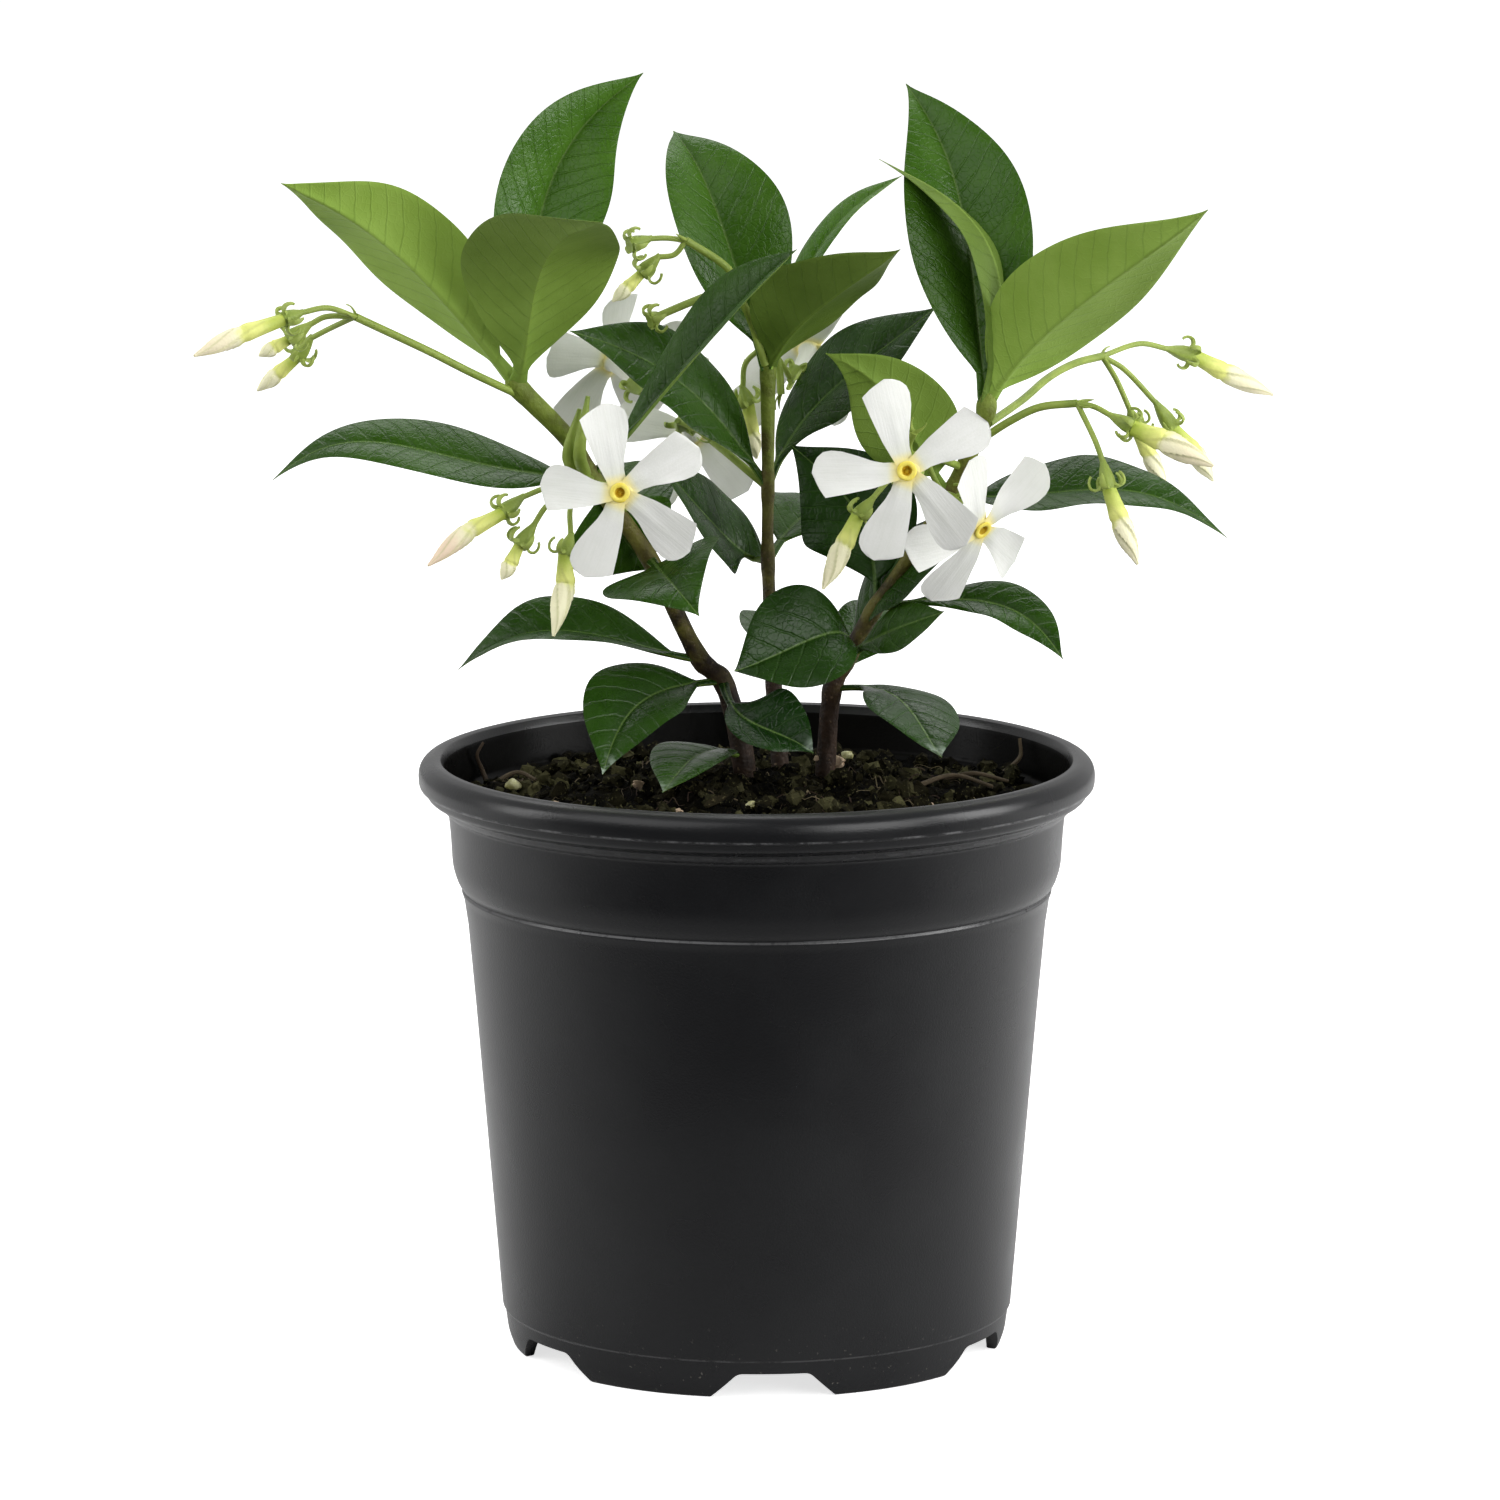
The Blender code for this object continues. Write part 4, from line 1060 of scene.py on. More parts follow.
def veins_group():
    """Midrib and feathered side veins from a leaf's own layout, in millimetres."""
    tree, given, result = new_group(
        "Leaf veins",
        (
            ("Layout", "Vector", (0, 0, 0)),
            ("Vein Width", "Float", 0.3),
            ("Midrib Width", "Float", 0.45),
        ),
        (("Midrib", "Float"), ("Veins", "Float"), ("Net", "Float")),
    )
    split = parts_of(tree, given["Layout"])
    along, across, share = split["X"], split["Y"], split["Z"]
    off = maths(tree, "ABSOLUTE", across)
    narrowing = maths(tree, "MULTIPLY_ADD", share, -0.7, 1.0)
    rib = maths(tree, "DIVIDE", off, times(tree, given["Midrib Width"], narrowing))
    feed(tree, result["Midrib"], faded(tree, rib, 1.0, 0.45))
    wobble = speckle(tree, given["Layout"], 0.35, 2.0)
    curve = (times(tree, off, off), -VEIN_CURVE)
    path = built_up(tree, along, (off, -VEIN_SLOPE), curve, (wobble, 1.1))
    gap = maths(tree, "PINGPONG", path, VEIN_SPACING / 2)
    width = maths(tree, "MULTIPLY_ADD", off, -0.012, given["Vein Width"])
    line = faded(tree, maths(tree, "DIVIDE", gap, width), 1.3, 0.2)
    feed(tree, result["Veins"], line)
    cells = {"Vector": given["Layout"], "Scale": 0.85, "Randomness": 1.0}
    net = node(tree, "TexVoronoi", cells, feature="DISTANCE_TO_EDGE")["Distance"]
    feed(tree, result["Net"], faded(tree, net, 0.12, 0.0))
    return tree


VEINS = veins_group()


def veined(tree, base, veins, vein_share, vein_colour, rib_share, rib_colour):
    """A leaf's colour with its side veins and its midrib drawn in."""
    base = mixed(tree, times(tree, veins["Veins"], vein_share), base, vein_colour)
    return mixed(tree, times(tree, veins["Midrib"], rib_share), base, rib_colour)


def leaf_upper():
    """Waxy dark green, lighter where young, with sunken veins and dried splashes low down."""
    finish, tree, shader, place = new_finish("leaf_upper", 0.3, specular_ior_level=0.20)
    layout = written(tree, "layout")
    tone = written(tree, "tone")
    veins = grouped(tree, VEINS, {"Layout": layout, "Vein Width": 0.32, "Midrib Width": 0.5})
    marks = patchy(tree, place, 120.0, 800.0, 0.2)
    old = mixed(tree, marks["Patches"], (0.0040, 0.0200, 0.0016), (0.0095, 0.0350, 0.0040))
    young = mixed(tree, marks["Patches"], (0.065, 0.175, 0.010), (0.090, 0.215, 0.017))
    base = mixed(tree, tone, old, young)
    base = veined(tree, base, veins, 0.12, (0.075, 0.140, 0.040), 0.62, (0.120, 0.200, 0.050))
    near_tip = faded(tree, parts_of(tree, layout)["Z"], 0.84, 0.99)
    low_down = faded(tree, parts_of(tree, place)["Z"], 0.126, 0.108)
    drops = faded(tree, speckle(tree, place, 420.0), 0.40, 0.62)
    splashed = times(tree, times(tree, near_tip, low_down), drops)
    feed(tree, shader["Base Color"], mixed(tree, splashed, base, (0.33, 0.40, 0.33)))
    feed(tree, shader["Roughness"], faded(tree, marks["Patches"], 0.0, 1.0, 0.23, 0.31))
    layers = ((veins["Veins"], -0.36), (veins["Net"], -0.10), (marks["Grain"], 0.45))
    bumped(tree, shader, built_up(tree, 1.0, *layers), 0.0003)
    return finish


def leaf_under():
    """Paler yellow-green and matt, with raised veins."""
    finish, tree, shader, place = new_finish("leaf_under", 0.55, specular_ior_level=0.15)
    layout = written(tree, "layout")
    tone = written(tree, "tone")
    veins = grouped(tree, VEINS, {"Layout": layout, "Vein Width": 0.28, "Midrib Width": 0.6})
    marks = patchy(tree, place, 110.0, 1600.0, 0.22)
    old = mixed(tree, marks["Patches"], (0.030, 0.060, 0.006), (0.044, 0.080, 0.009))
    # The young undersides' bright yellow-green is partly their own colour and partly painted light
    # shining through the thin blade
    young = mixed(tree, marks["Patches"], (0.320, 0.500, 0.075), (0.385, 0.580, 0.105))
    base = mixed(tree, tone, old, young)
    base = veined(tree, base, veins, 0.16, (0.050, 0.105, 0.012), 0.55, (0.200, 0.300, 0.050))
    feed(tree, shader["Base Color"], base)
    layers = ((veins["Veins"], 0.3), (veins["Net"], 0.12), (marks["Grain"], 0.15))
    bumped(tree, shader, built_up(tree, 0.0, *layers), 0.0002)
    return finish


LEAF_UPPER, LEAF_UNDER = leaf_upper(), leaf_under()
draw = random.Random(5)
for side, leaves in LEAVES.items():
    skin = Skin()
    for leaf in leaves:
        grow_leaf(skin, leaf, draw)
    foliage = skin.piece(f"leaves_{side}", LEAF_UPPER, LEAF_UNDER)
    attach(foliage, "root")
    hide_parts(f"leafy_stem_{side}")


# Flower sprays
# Loose sprays on thin green stalks. Each flower stands on its own short stalk in a small cup of
# five narrow sepals, which curl right back. All of it is one growth, fixed to its stem.

STALK_RADIUS = 0.7
ROOT_DEPTH = 2.0
FLOWER_STALK_RADIUS = 0.5
SHOOT_RADIUS = 1.15  # of the two young shoots beside the left spray
SHOOT_TIP = 0.35
SEPAL_COUNT = 5
SEPAL_THICKNESS = 0.5

# A sepal's curl from the cup's rim as (outwards, upwards, half-width)
SEPAL_CURL = (
    (1.0, -0.6, 0.66),
    (1.45, 0.3, 0.64),
    (2.15, 0.6, 0.60),
    (2.85, 0.25, 0.54),
    (3.05, -0.6, 0.45),
    (2.8, -1.35, 0.32),
    (2.45, -1.75, 0.12),
)

# Stalks from the stem outwards, then a flower's own stalk from the end of the first of them: a
# place halfway, its end, and the mouth of the cup. One cup stands straight on a stalk's end.
SPRAYS = {
    "far_left": (
        (((-43.9, -10, 172.8), (-50, -15.5, 176.5), (-56.5, -20, 180.5), (-69, -31, 188)),),
        (
            ((-73.5, -35, 190), (-78, -38, 189.5), (-81, -40, 188.5)),
            ((-74, -31, 188), (-77, -31, 186.5), (-80.5, -31.5, 184)),
            ((-73.5, -27, 185.5), (-77, -25, 183.5), (-79.5, -24, 180)),
        ),
    ),
    "left": (
        (
            ((-29.4, -4.4, 156), (-30, -9, 156)),
            ((-30.5, -4, 156.5), (-33, -7.5, 160.5), (-31, -8, 169)),
            ((-30.2, -4.5, 157), (-31, -9.5, 161.5), (-29.5, -10, 171.5)),
        ),
        (
            ((-36, -13, 156), (-41, -16, 154.5), (-44.5, -19, 152)),
            ((-36.5, -15, 153), (-39, -16, 149.5), (-41.5, -17, 146)),
            ((-32.5, -13, 152.5), (-32.5, -14, 147.5), (-33.5, -15, 144)),
            ((-26, -12, 156), (-23.7, -15.9, 154.9), (-23.7, -19.3, 155.5)),
        ),
    ),
    "top": (
        (
            ((0.9, 19.9, 175), (-0.8, 19, 180.5), (-3, 16, 186), (-5, 14, 191), (-12.5, 11, 196.5)),
            ((-3, 16, 186), (-7.5, 14.5, 186.5), (-12, 14, 185), (-17, 13, 183)),
        ),
        (
            ((-16, 10, 197), (-19, 9, 197), (-22.5, 7, 196)),
            ((-14.5, 11, 194), (-17.5, 11, 193.5), (-20.5, 10.5, 190.5)),
            ((-17, 13, 183), (-19, 12, 182)),
        ),
    ),
    "far_right": (
        (((42, 1.1, 166), (47, 8, 168.5), (52, 16, 171.5), (57, 24, 173), (62, 30, 173.5)),),
        (
            ((69, 36, 175), (74.5, 40, 173.5), (79, 43, 172)),
            ((66, 31, 171), (72, 33, 164.5), (75, 34, 160)),
            ((64.5, 28, 169.5), (67, 27, 164), (68, 26.5, 161)),
        ),
    ),
    "right": (
        (((40.5, -1.8, 163.4), (44.5, -5, 166.5), (49.5, -6, 169), (56, -8, 170)),),
        (
            ((59, -9, 169.5), (62, -10, 168), (66, -12, 166)),
            ((59, -11, 164), (60.5, -12, 160), (61.5, -13, 155.5)),
        ),
    ),
    "inner_right": (
        (
            ((34.4, 0.4, 158.2), (32, -2.5, 159.5), (29.5, -5, 160.5)),
            ((29.5, -5, 160.5), (27, -8, 161), (26.5, -10, 163), (27.5, -12, 165.5)),
        ),
        (
            ((27.5, -11, 159.5), (25.9, -15.9, 158.7), (25.9, -19.3, 159.3)),
            ((31, -4, 156.5), (32.7, -2.4, 153.3), (34.8, -4.8, 151.7)),
            ((24, -9, 157.5), (20, -12, 153.5), (17.5, -13, 150.5)),
        ),
    ),
    "back_left": (
        (((0.7, 23.1, 151.7), (-4, 25, 155.5), (-8, 27.5, 158.5)),),
        (
            ((-11, 28.5, 160.5), (-14.1, 29.7, 161.7), (-13.3, 33, 160.6)),
            ((-12, 33, 164.5), (-21, 35.2, 166.3), (-22.6, 38, 167.7)),
        ),
    ),
    "back_right": (
        (
            ((1.9, 24.2, 172.8), (1.5, 27, 174.5), (1.5, 30, 175.5)),
            ((1.5, 30, 175.5), (3.8, 31, 172), (4.4, 31, 166.5)),
        ),
        (
            ((-2, 31.5, 172), (-2.5, 32, 167.5), (-1.5, 32.5, 164.5)),
            ((4, 33, 172.5), (6.1, 36.1, 168.6), (7.1, 39.1, 169.8)),
        ),
    ),
}


def aligned(place, direction):
    """A frame at a place whose Z axis lies along a direction and whose X axis is level."""
    z_axis = Vector(direction).normalized()
    x_axis = Vector((0, 0, 1)).cross(z_axis)
    if x_axis.length < 0.01:
        x_axis = Vector((1, 0, 0))
    x_axis.normalize()
    y_axis = z_axis.cross(x_axis)
    local = Matrix((x_axis, y_axis, z_axis)).transposed().to_4x4()
    local.translation = Vector(place)
    return local


def about(skin, local, outline, sides, tone=0.0, slot=0, lobes=0.0):
    """Turn an outline of (radius, height) about a frame's Z axis, with five lobes if asked.

    Its layout runs from 4 to 1 towards the mouth, so a tube takes the tint of a petal's root.
    """
    rings = []
    foot, head = outline[0][1], outline[-1][1]
    for radius, height in outline:
        share = (height - foot) / (head - foot)
        ring, layout = [], []
        for side in range(sides if radius > 0 else 1):
            angle = 2 * math.pi * side / sides
            lobed = radius * (1 + lobes * math.cos(5 * angle))
            ring.append(local @ Vector((lobed * math.cos(angle), lobed * math.sin(angle), height)))
            layout.append((4.0 - 3.0 * soft_step(height, -0.7, 0.0), angle * radius, share))
        rings.append(skin.ring(ring, layout, tone))
    skin.loft(rings, [slot] * sides, closed_ends=False)


def strip(skin, local, line, thickness, tone=0.0):
    """A narrow pointed blade along a line of (out, up, half-width) in a frame's XZ plane."""
    points = eased([(out, 0.0, up, width) for out, up, width in line], 4)
    rings = []
    for number, point in enumerate(points):
        before, after = points[max(number - 1, 0)], points[min(number + 1, len(points) - 1)]
        ahead = Vector((after - before)[:3]).normalized()
        out = ahead.cross(Vector((0, 1, 0)))
        upper, lower, layout = [], [], []
        for v in (-1.0, -0.6, 0.0, 0.6, 1.0):
            middle = Vector(point[:3]) + Vector((0, v * point[3], 0))
            middle += out * (0.2 * v * v * point[3])
            depth = out * (thickness / 2 * math.sqrt(1.04 - v * v))
            upper.append(local @ (middle + depth))
            lower.append(local @ (middle - depth))
            layout.append((number * 0.3, v, number / (len(points) - 1)))
        rings.append(skin.ring(thin_ring(upper, lower), thin_ring(layout, layout), tone))
    skin.loft(rings)


def flower_cup(skin, base, mouth, draw):
    """A cup with five sepals that curl back from its rim."""
    along = Vector(mouth) - Vector(base)
    length = along.length
    local = aligned(base, along)
    outline = ((0, -0.6), (0.5, -0.6), (0.6, 0.0), (1.05, 0.3 * length), (1.4, 0.62 * length))
    outline += ((1.45, 0.85 * length), (1.25, length), (1.0, length - 0.05), (0, length - 0.35))
    about(skin, local, outline, 20, tone=0.15, lobes=0.05)
    for number in range(SEPAL_COUNT):
        turn = 2 * math.pi * number / SEPAL_COUNT + draw.uniform(-0.15, 0.15)
        reach = draw.uniform(0.85, 1.1)
        spin = Matrix.Rotation(turn, 4, "Z")
        line = [
            (0.95 + (out - 0.95) * reach, length - 0.9 + up * reach, width)
            for out, up, width in SEPAL_CURL
        ]
        strip(skin, local @ spin, line, SEPAL_THICKNESS, tone=0.35)


def rooted(route):
    """The place inside the stem that a stalk grows from, straight on from its first stretch."""
    first, second = Vector(route[0]), Vector(route[1])
    return first + (first - second).normalized() * ROOT_DEPTH


def bract(skin, place, ahead, draw):
    """A small pointed scale beside a fork of the stalk."""
    local = aligned(place, ahead) @ Matrix.Rotation(draw.uniform(0, 6.28), 4, "Z")
    line = ((0.2, -0.2, 0.45), (0.9, 0.7, 0.40), (1.3, 1.8, 0.25), (1.3, 2.8, 0.06))
    strip(skin, local, line, 0.25, tone=0.3)


def green_skin():
    """Smooth yellow-green skin, a little paler on the sepals and cups."""
    finish, tree, shader, place = new_finish("green_stalk", 0.5, specular_ior_level=0.4)
    marks = patchy(tree, place, 160.0, 1800.0, 0.2)
    tone = written(tree, "tone")
    stalk = mixed(tree, marks["Patches"], (0.170, 0.250, 0.030), (0.270, 0.360, 0.055))
    base = mixed(tree, tone, stalk, (0.560, 0.660, 0.170))
    feed(tree, shader["Base Color"], base)
    bumped(tree, shader, marks["Grain"], 0.00012)
    return finish


GREEN_SKIN = green_skin()
draw = random.Random(8)
for name, (stalks, flower_stalks) in SPRAYS.items():
    skin = Skin()
    for number, route in enumerate(stalks):
        shoot = name == "left" and number > 0
        radii = [SHOOT_RADIUS if shoot else STALK_RADIUS] * len(route)
        if shoot:
            radii[-1] *= SHOOT_TIP
        knots = [(*place, radius) for place, radius in zip(route, radii)]
        if number == 0:
            knots[0] = (*rooted(route), STALK_RADIUS)
        swept(skin, eased(knots, 10), 14, tone=0.1)
        if not shoot:
            for _ in range(2):
                bract(skin, route[-1], Vector(route[-1]) - Vector(route[-2]), draw)
    fork = stalks[0][-1]
    for route in flower_stalks:
        if len(route) == 3:
            knots = [(*place, FLOWER_STALK_RADIUS) for place in (fork, *route[:2])]
            swept(skin, eased(knots, 8), 12, tone=0.2)
    for *_, base, mouth in flower_stalks:
        flower_cup(skin, base, mouth, draw)
    spray = skin.piece(f"stalks_{name}", GREEN_SKIN)
    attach(spray, "root")
    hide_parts(f"spray_{name}")


# Buds
# Closed buds: five petals wound tightly to the right, green at the slim tube and cream to pale
# pink where they swell and close to a point. Each comes out of its cup.

BUD_SIDES = 40
BUD_STEPS = 9
BUD_TWIST = 2.2
BUD_SWELLING = 0.22  # where each petal laps over the next
BUD_WAIST = 0.48  # where the tube ends
BUD_PINCH = 0.15
BUD_GIRTHS = (0.30, 0.37, 0.46, 0.38, 0.06)  # from the cup to the tip

# Mouth of the cup, middle, tip, greatest thickness, and blush at the tip
BUDS = {
    "far_left_1": ((-81, -40, 188.5), (-88, -44.5, 186.5), (-95.5, -49, 183.5), 3.6, 0.3),
    "far_left_2": ((-80.5, -31.5, 184), (-83, -32.3, 182.8), (-85.5, -33, 181.5), 2.8, 0.0),
    "far_left_3": ((-79.5, -24, 180), (-83, -23, 177), (-86.5, -22, 174), 3.0, 0.0),
    "left_1": ((-44.5, -19, 152), (-50, -22, 149.5), (-57, -26, 144), 3.6, 0.8),
    "left_2": ((-41.5, -17, 146), (-43, -18, 143), (-44.5, -19, 140.5), 3.0, 0.0),
    "left_3": ((-33.5, -15, 144), (-33.5, -16, 139), (-35.5, -19, 130.5), 4.0, 0.0),
    "top_1": ((-20.5, 10.5, 190.5), (-23, 9, 188.2), (-25.5, 8, 186), 2.8, 0.0),
    "far_right_1": ((79, 43, 172), (85, 46, 168.5), (94, 49, 164), 4.0, 0.2),
    "far_right_2": ((75, 34, 160), (79, 35, 155.5), (82.5, 36, 150), 3.6, 0.0),
    "far_right_3": ((68, 26.5, 161), (70.5, 26, 156), (73.5, 26, 150), 3.4, 0.0),
    "right_1": ((66, -12, 166), (71, -13, 164), (79.5, -16, 160), 4.6, 0.3),
    "right_2": ((61.5, -13, 155.5), (63.5, -14, 150), (66.5, -15, 142.5), 4.0, 0.1),
    "inner_right_1": ((17.5, -13, 150.5), (15, -15, 145.5), (11.5, -17, 138.5), 4.0, 0.1),
    "back_right_1": ((-1.5, 32.5, 164.5), (-1, 33, 159), (0, 33, 154.5), 3.6, 0.1),
}


def bud_skin():
    """Green at the tube, cream above, with a blush at the tip and greener seams."""
    finish, tree, shader, place = new_finish("bud_petals", 0.5, specular_ior_level=0.35)
    layout = written(tree, "layout")
    blush = written(tree, "tone")
    split = parts_of(tree, layout)
    marks = patchy(tree, place, 260.0, 2000.0, 0.2)
    share = maths(tree, "MULTIPLY_ADD", marks["Patches"], 0.12, split["Z"])
    green, lime = (0.430, 0.540, 0.070), (0.770, 0.800, 0.230)
    base = mixed(tree, faded(tree, share, 0.05, 0.45), green, lime)
    base = mixed(tree, faded(tree, share, 0.50, 0.62), base, (0.930, 0.900, 0.610))
    pink = times(tree, blush, faded(tree, share, 0.5, 0.9))
    base = mixed(tree, pink, base, (0.900, 0.680, 0.520))
    seams = times(tree, faded(tree, split["Y"], 0.22, 0.0), 0.40)
    feed(tree, shader["Base Color"], mixed(tree, seams, base, (0.500, 0.520, 0.160)))
    bumped(tree, shader, marks["Grain"], 0.0001)
    return finish


def wound_bud(skin, mouth, middle, tip, girth, blush):
    """Add a bud with five petals wound about it. Its layout's Y is 0 at the seams."""
    mouth, middle, tip = Vector(mouth), Vector(middle), Vector(tip)
    ahead = (middle - mouth).normalized()
    route = (mouth - ahead * 0.5, mouth.lerp(middle, 0.5), middle, middle.lerp(tip, 0.5), tip)
    line = eased([(*place, girth * share) for place, share in zip(route, BUD_GIRTHS)], BUD_STEPS)
    rings = []
    for number, (point, _, across, other) in enumerate(framed(line)):
        share = number / (len(line) - 1)
        ring, layout = [], []
        for side in range(BUD_SIDES):
            angle = 2 * math.pi * side / BUD_SIDES
            petal = (5 * angle / (2 * math.pi) + BUD_TWIST * share) % 1.0
            swell = 1 + BUD_SWELLING * soft_step(share, 0.3, 0.6) * (petal - 0.5)
            swell -= BUD_PINCH * math.exp(-(((share - BUD_WAIST) / 0.04) ** 2))
            out = across * math.cos(angle) + other * math.sin(angle)
            ring.append(Vector(point[:3]) + out * (point[3] * swell))
            seam = min(petal, 1 - petal) + 0.5 * (share < 0.2)
            layout.append((share, seam, share))
        rings.append(skin.ring(ring, layout, blush))
    skin.loft(rings)


BUD_SKIN = bud_skin()
for name, form in BUDS.items():
    skin = Skin()
    wound_bud(skin, *form)
    closed_bud = skin.piece(f"closed_bud_{name}", BUD_SKIN)
    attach(closed_bud, "root")
    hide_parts(f"bud_{name}")


# Flowers
# Six open flowers: five white petals set like a pinwheel's vanes on a slim tube, with a yellow
# ring about the throat and the tips of the five anthers inside. Each sits in its cup.

PETAL_PITCH = 11.0  # degrees at the root
PETAL_TWIST = 8.0  # degrees more at the tip
PETAL_RECURVE = 1.4
PETAL_THICKNESS = 0.34
PETAL_RIDGE = 0.25
PETAL_ROWS = 34
PETAL_COLUMNS = 14

# The yellow ring: radius of the ring, height above the petals' roots, half its width and height
RING_RADIUS = 1.3
RING_HEIGHT = 0.55
RING_HALF_WIDTH = 0.42
RING_HALF_HEIGHT = 0.22
RING_STEPS = 60
RING_PROFILE_STEPS = 12
RING_LOBES = 0.02

# Half-widths of a petal from root to tip: share of the length, then width
PETAL_CORNER_SIDE = (
    (0.065, 1.5),
    (0.18, 2.1),
    (0.36, 3.05),
    (0.66, 4.1),
    (0.865, 4.7),
    (0.93, 2.9),
    (1.0, 0.1),
)
PETAL_ROUND_SIDE = (
    (0.065, 1.3),
    (0.16, 1.55),
    (0.24, 1.5),
    (0.36, 1.9),
    (0.52, 2.9),
    (0.68, 3.75),
    (0.80, 4.0),
    (0.88, 3.75),
    (0.94, 2.9),
    (0.98, 1.7),
    (1.0, 0.2),
)


def even_petals(first, length):
    """Turns and lengths of five petals that are evenly set."""
    return [(first + 72 * number, length) for number in range(5)]


# The middle, the way it faces, and for each petal its turn in degrees, its length and, where it
# is seen nearly edge on, how far its blade twists besides
FLOWERS = {
    "left": (
        (-23.7, -27, 156.9),
        (0, -0.985, 0.174),
        ((101, 15.8), (30, 15.8), (-40, 15.8), (-113, 15.8), (174, 13.9)),
    ),
    "inner_right_1": (
        (25.9, -27, 160.7),
        (0, -0.985, 0.174),
        ((104, 16.4), (31, 16.4), (-51, 16.4), (-110, 16.4), (-179, 16.4)),
    ),
    "inner_right_2": (
        (39.3, -10, 148.1),
        (0.58, -0.67, -0.46),
        ((45, 16.2, -42), (118, 16.2), (190, 16.2), (255, 16.2), (-36, 16.2, -38)),
    ),
    "back_left_1": (
        (-11.6, 40.3, 158.2),
        (0.22, 0.93, -0.30),
        even_petals(7, 15.5),
    ),
    "back_left_2": (
        (-26.1, 44.2, 170.8),
        (-0.45, 0.80, 0.40),
        even_petals(10, 15.0),
    ),
    "back_right": (
        (9.5, 46.0, 172.5),
        (0.30, 0.88, 0.35),
        even_petals(40, 15.0),
    ),
}


def read_off(table, share):
    """A width from a table of (share, width)."""
    return float(np.interp(share, *zip(*table)))


def petal(skin, local, draw, turn, length, tip_twist=0.0):
    """Add one petal: a vane with one sharp and one round corner, softly rippled."""
    spun = local @ Matrix.Rotation(math.radians(turn), 4, "Z")
    ripple = draw.uniform(0.10, 0.22)
    phase = draw.uniform(0, 6.28)
    cup = draw.uniform(-0.02, 0.05)
    foot = PETAL_CORNER_SIDE[0][0]
    rings = []
    for row in range(PETAL_ROWS + 1):
        step = row / PETAL_ROWS
        u = foot + (1 - foot) * (1.35 * step - 0.35 * step * step)
        corner, round_side = read_off(PETAL_CORNER_SIDE, u), read_off(PETAL_ROUND_SIDE, u)
        bent = tip_twist * soft_step(u, 0.0, 0.5)
        twist = math.radians(PETAL_PITCH + PETAL_TWIST * u + bent)
        upper, lower, layout = [], [], []
        for column in range(PETAL_COLUMNS + 1):
            v = 2 * column / PETAL_COLUMNS - 1
            across = corner * (v + 1) / 2 - round_side * (1 - v) / 2
            lift = across * math.sin(twist) - PETAL_RECURVE * u * u
            lift += ripple * v * v * math.sin(7 * u + 2.4 * v + phase) * soft_step(u, 0.2, 0.6)
            lift += cup * across * across * soft_step(u, 0.15, 0.5)
            ridge = math.exp(-((across / 0.8) ** 2)) * soft_step(u, 0.1, 0.3)
            lift += PETAL_RIDGE * ridge * (1 - u)
            place = Vector((length * u, across * math.cos(twist), lift))
            out = Vector((0, -math.sin(twist), math.cos(twist)))
            out *= PETAL_THICKNESS / 2 * math.sqrt(1.03 - v * v * 0.9) * (1 - 0.5 * u * u)
            upper.append(spun @ (place + out))
            lower.append(spun @ (place - out))
            layout.append((length * u, across, u))
        rings.append(skin.ring(thin_ring(upper, lower), thin_ring(layout, layout)))
    skin.loft(rings)


def petal_white():
    """Soft white with a breath of green at the root, yellow by the throat, and faint veins."""
    finish, tree, shader, place = new_finish("petal_white", 0.55, specular_ior_level=0.3)
    layout = written(tree, "layout")
    split = parts_of(tree, layout)
    marks = patchy(tree, place, 180.0, 2200.0, 0.25)
    white = mixed(tree, marks["Patches"], (0.770, 0.780, 0.735), (0.830, 0.835, 0.800))
    greenish = faded(tree, split["X"], 6.0, 1.5, 0.0, 0.35)
    base = mixed(tree, greenish, white, (0.740, 0.780, 0.480))
    base = mixed(tree, faded(tree, split["X"], 3.6, 1.7), base, (0.900, 0.800, 0.330))
    stretch = {"Vector": layout, "Scale": (0.12, 2.2, 0.0)}
    drawn = node(tree, "Mapping", stretch, vector_type="POINT")["Vector"]
    veins = speckle(tree, drawn, 1.0, 2.0)
    shade = times(tree, faded(tree, veins, 0.45, 0.7), 0.16)
    feed(tree, shader["Base Color"], mixed(tree, shade, base, (0.66, 0.68, 0.60)))
    relief = maths(tree, "MULTIPLY_ADD", veins, 0.7, times(tree, marks["Grain"], 0.3))
    bumped(tree, shader, relief, 0.0001)
    return finish


def throat_yellow(name, deep, bright):
    """The warm colour in and about the throat."""
    finish, tree, shader, place = new_finish(name, 0.55, specular_ior_level=0.3)
    marks = patchy(tree, place, 500.0, 2600.0, 0.25)
    feed(tree, shader["Base Color"], mixed(tree, marks["Patches"], deep, bright))
    bumped(tree, shader, marks["Grain"], 0.0001)
    return finish


PETAL_WHITE = petal_white()
THROAT = throat_yellow("throat_ochre", (0.640, 0.430, 0.018), (0.780, 0.580, 0.045))
EYE = throat_yellow("eye_yellow", (0.880, 0.710, 0.080), (0.920, 0.800, 0.170))

# Radius and height of the tube behind the petals, and of the throat inside the ring
TUBE_OUTLINE = (
    (0, -7.9),
    (0.85, -7.9),
    (0.95, -6.0),
    (1.2, -3.0),
    (1.6, -1.0),
    (2.1, -0.25),
    (2.25, 0.05),
    (1.9, 0.25),
    (1.35, 0.2),
)
THROAT_OUTLINE = (
    (1.4, 0.1),
    (1.3, 0.38),
    (1.1, 0.35),
    (0.9, 0.1),
    (0.75, -0.3),
    (0.4, -0.7),
    (0, -0.8),
)

# An anther's tip, from its root in the throat: share of its length and radius
ANTHER_ROOT, ANTHER_TIP = Vector((0.42, 0, -0.9)), Vector((0.12, 0, 0.2))
ANTHER_RADII = ((0, 0.22), (0.6, 0.18), (1, 0.04))

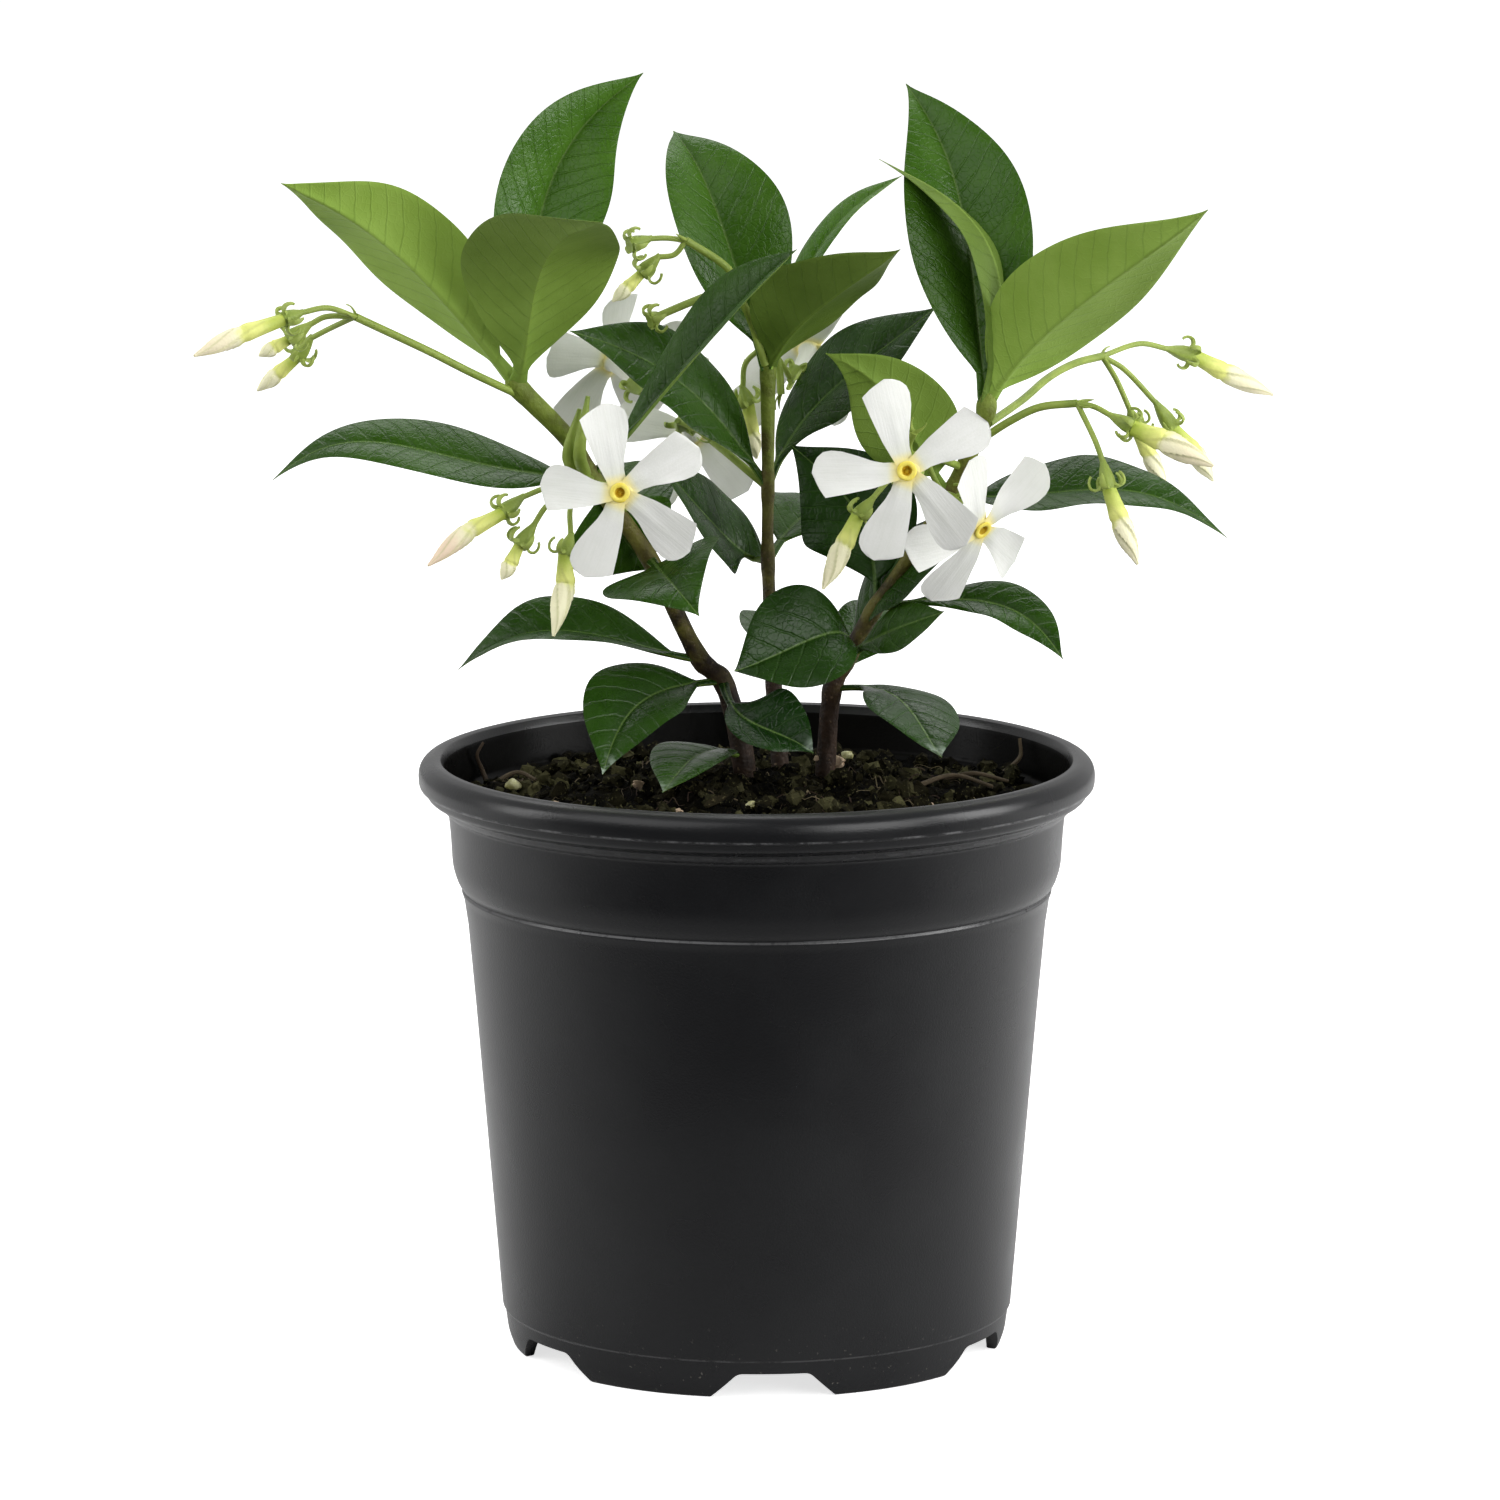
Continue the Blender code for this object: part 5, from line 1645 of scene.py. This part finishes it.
draw = random.Random(21)
for name, (middle, facing, petals) in FLOWERS.items():
    local = aligned(middle, facing)
    skin = Skin()
    about(skin, local, TUBE_OUTLINE, 36)
    about(skin, local, THROAT_OUTLINE, 36, slot=1, lobes=0.015)
    for vane in petals:
        petal(skin, local, draw, *vane)
    for number in range(5):
        spin = Matrix.Rotation(2 * math.pi * number / 5, 4, "Z")
        root, tip = spin @ ANTHER_ROOT, spin @ ANTHER_TIP
        line = [(*(local @ root.lerp(tip, share)), radius) for share, radius in ANTHER_RADII]
        swept(skin, eased(line, 4), 8, slot=1)
    corolla = skin.piece(f"petals_{name}", PETAL_WHITE, THROAT)
    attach(corolla, "root")
    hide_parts(f"corolla_{name}")
    skin = Skin()
    rings = []
    for step in range(RING_STEPS):
        angle = 2 * math.pi * step / RING_STEPS
        lobe = RING_LOBES * math.cos(5 * angle)
        ring = []
        for side in range(RING_PROFILE_STEPS):
            round_ring = 2 * math.pi * side / RING_PROFILE_STEPS
            radius = RING_RADIUS + lobe + RING_HALF_WIDTH * math.cos(round_ring)
            height = RING_HEIGHT + RING_HALF_HEIGHT * math.sin(round_ring)
            place = Vector((radius * math.cos(angle), radius * math.sin(angle), height))
            ring.append(local @ place)
        rings.append(skin.ring(ring))
    skin.loft(rings + rings[:1], closed_ends=False)
    eye = skin.piece(f"yellow_ring_{name}", EYE)
    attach(eye, "root")
    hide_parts(f"eye_{name}")


# Stand, light and camera
# A plain pale floor, large soft lights at both sides and above, and the photograph's viewpoint:
# a long lens 1.4 m away that looks down by 10 degrees.

FLOOR_HALF_SIDE = 7.0

# Place, width and height in metres, and power in watts
LIGHTS = (
    ("left_softbox", (-0.95, -0.95, 1.20), (1.5, 1.5), 13.0),
    ("right_softbox", (1.20, -0.20, 0.50), (0.6, 0.8), 10.5),
    ("left_strip", (-1.25, -0.10, 0.45), (0.4, 0.8), 5.0),
    ("right_card", (0.80, -1.00, 0.45), (0.8, 0.8), 9.5),
    ("top_softbox", (0.0, 0.80, 1.4), (1.4, 0.8), 9.0),
)
LIGHT_AIM = Vector((0, 0, 0.12))
CAMERA_AIM = Vector((-0.0012, 0, 0.107))
CAMERA_DISTANCE = 1.418
CAMERA_DOWN = math.radians(10)
CAMERA_LENS = 192.0


def pale_floor():
    """Matt white to the camera. In front of the pot it throws back less light, like a dark card."""
    finish, tree, shader, place = new_finish("pale_floor", 0.9, specular_ior_level=0.1)
    paper = mixed(tree, speckle(tree, place, 1.2, 2.0), (0.90, 0.90, 0.90), (0.92, 0.92, 0.92))
    seen = node(tree, "LightPath", {})["Is Camera Ray"]
    depth = parts_of(tree, place)["Y"]
    dim, bright = (0.03, 0.03, 0.03), (0.80, 0.80, 0.80)
    bounce = mixed(tree, faded(tree, depth, -0.30, 0.08), dim, bright)
    feed(tree, shader["Base Color"], mixed(tree, seen, bounce, paper))
    feed(tree, shader["Emission Color"], (1.0, 1.0, 1.0, 1.0))
    feed(tree, shader["Emission Strength"], times(tree, seen, 0.72))
    return finish


signs = ((-1, -1), (1, -1), (1, 1), (-1, 1))
corners = [(x * FLOOR_HALF_SIDE, y * FLOOR_HALF_SIDE, 0) for x, y in signs]
floor_mesh = bpy.data.meshes.new("floor")
floor_mesh.from_pydata(corners, [], [(0, 1, 2, 3)])
floor_mesh.materials.append(pale_floor())
floor = shown("floor", floor_mesh)


def studio_world():
    """White walls behind and beside the plant, and a dim room on the camera's side."""
    world = bpy.data.worlds.new("studio")
    world.use_nodes = True
    tree = world.node_tree
    way = parts_of(tree, node(tree, "TexCoord", {})["Generated"])
    walls = faded(tree, way["Y"], -0.28, 0.30, 0.14, 0.56)
    ceiling = faded(tree, way["Z"], 0.45, 0.80, 0.0, 0.42)
    ceiling = times(tree, ceiling, faded(tree, way["Y"], -0.45, 0.0))
    room = maths(tree, "MAXIMUM", walls, ceiling)
    seen = node(tree, "LightPath", {})["Is Camera Ray"]
    background = tree.nodes["Background"].inputs
    feed(tree, background["Color"], (1.0, 1.0, 1.0, 1.0))
    feed(tree, background["Strength"], maths(tree, "MAXIMUM", room, seen))
    return world


bpy.context.scene.world = studio_world()

for name, place, (width, height), power in LIGHTS:
    lamp = bpy.data.lights.new(name, "AREA")
    lamp.shape = "RECTANGLE"
    lamp.size, lamp.size_y = width, height
    lamp.energy = power
    light = bpy.data.objects.new(name, lamp)
    light.location = place
    light.rotation_euler = (LIGHT_AIM - Vector(place)).to_track_quat("-Z", "Y").to_euler()
    bpy.context.scene.collection.objects.link(light)

lens = bpy.data.cameras.new("camera")
lens.lens = CAMERA_LENS
lens.sensor_width = 36.0
lens.clip_end = 50.0
camera = bpy.data.objects.new("camera", lens)
back = Vector((0, -math.cos(CAMERA_DOWN), math.sin(CAMERA_DOWN)))
camera.location = CAMERA_AIM + back * CAMERA_DISTANCE
camera.rotation_euler = (-back).to_track_quat("-Z", "Y").to_euler()
bpy.context.scene.collection.objects.link(camera)
bpy.context.scene.camera = camera
bpy.context.scene.view_settings.view_transform = "Standard"
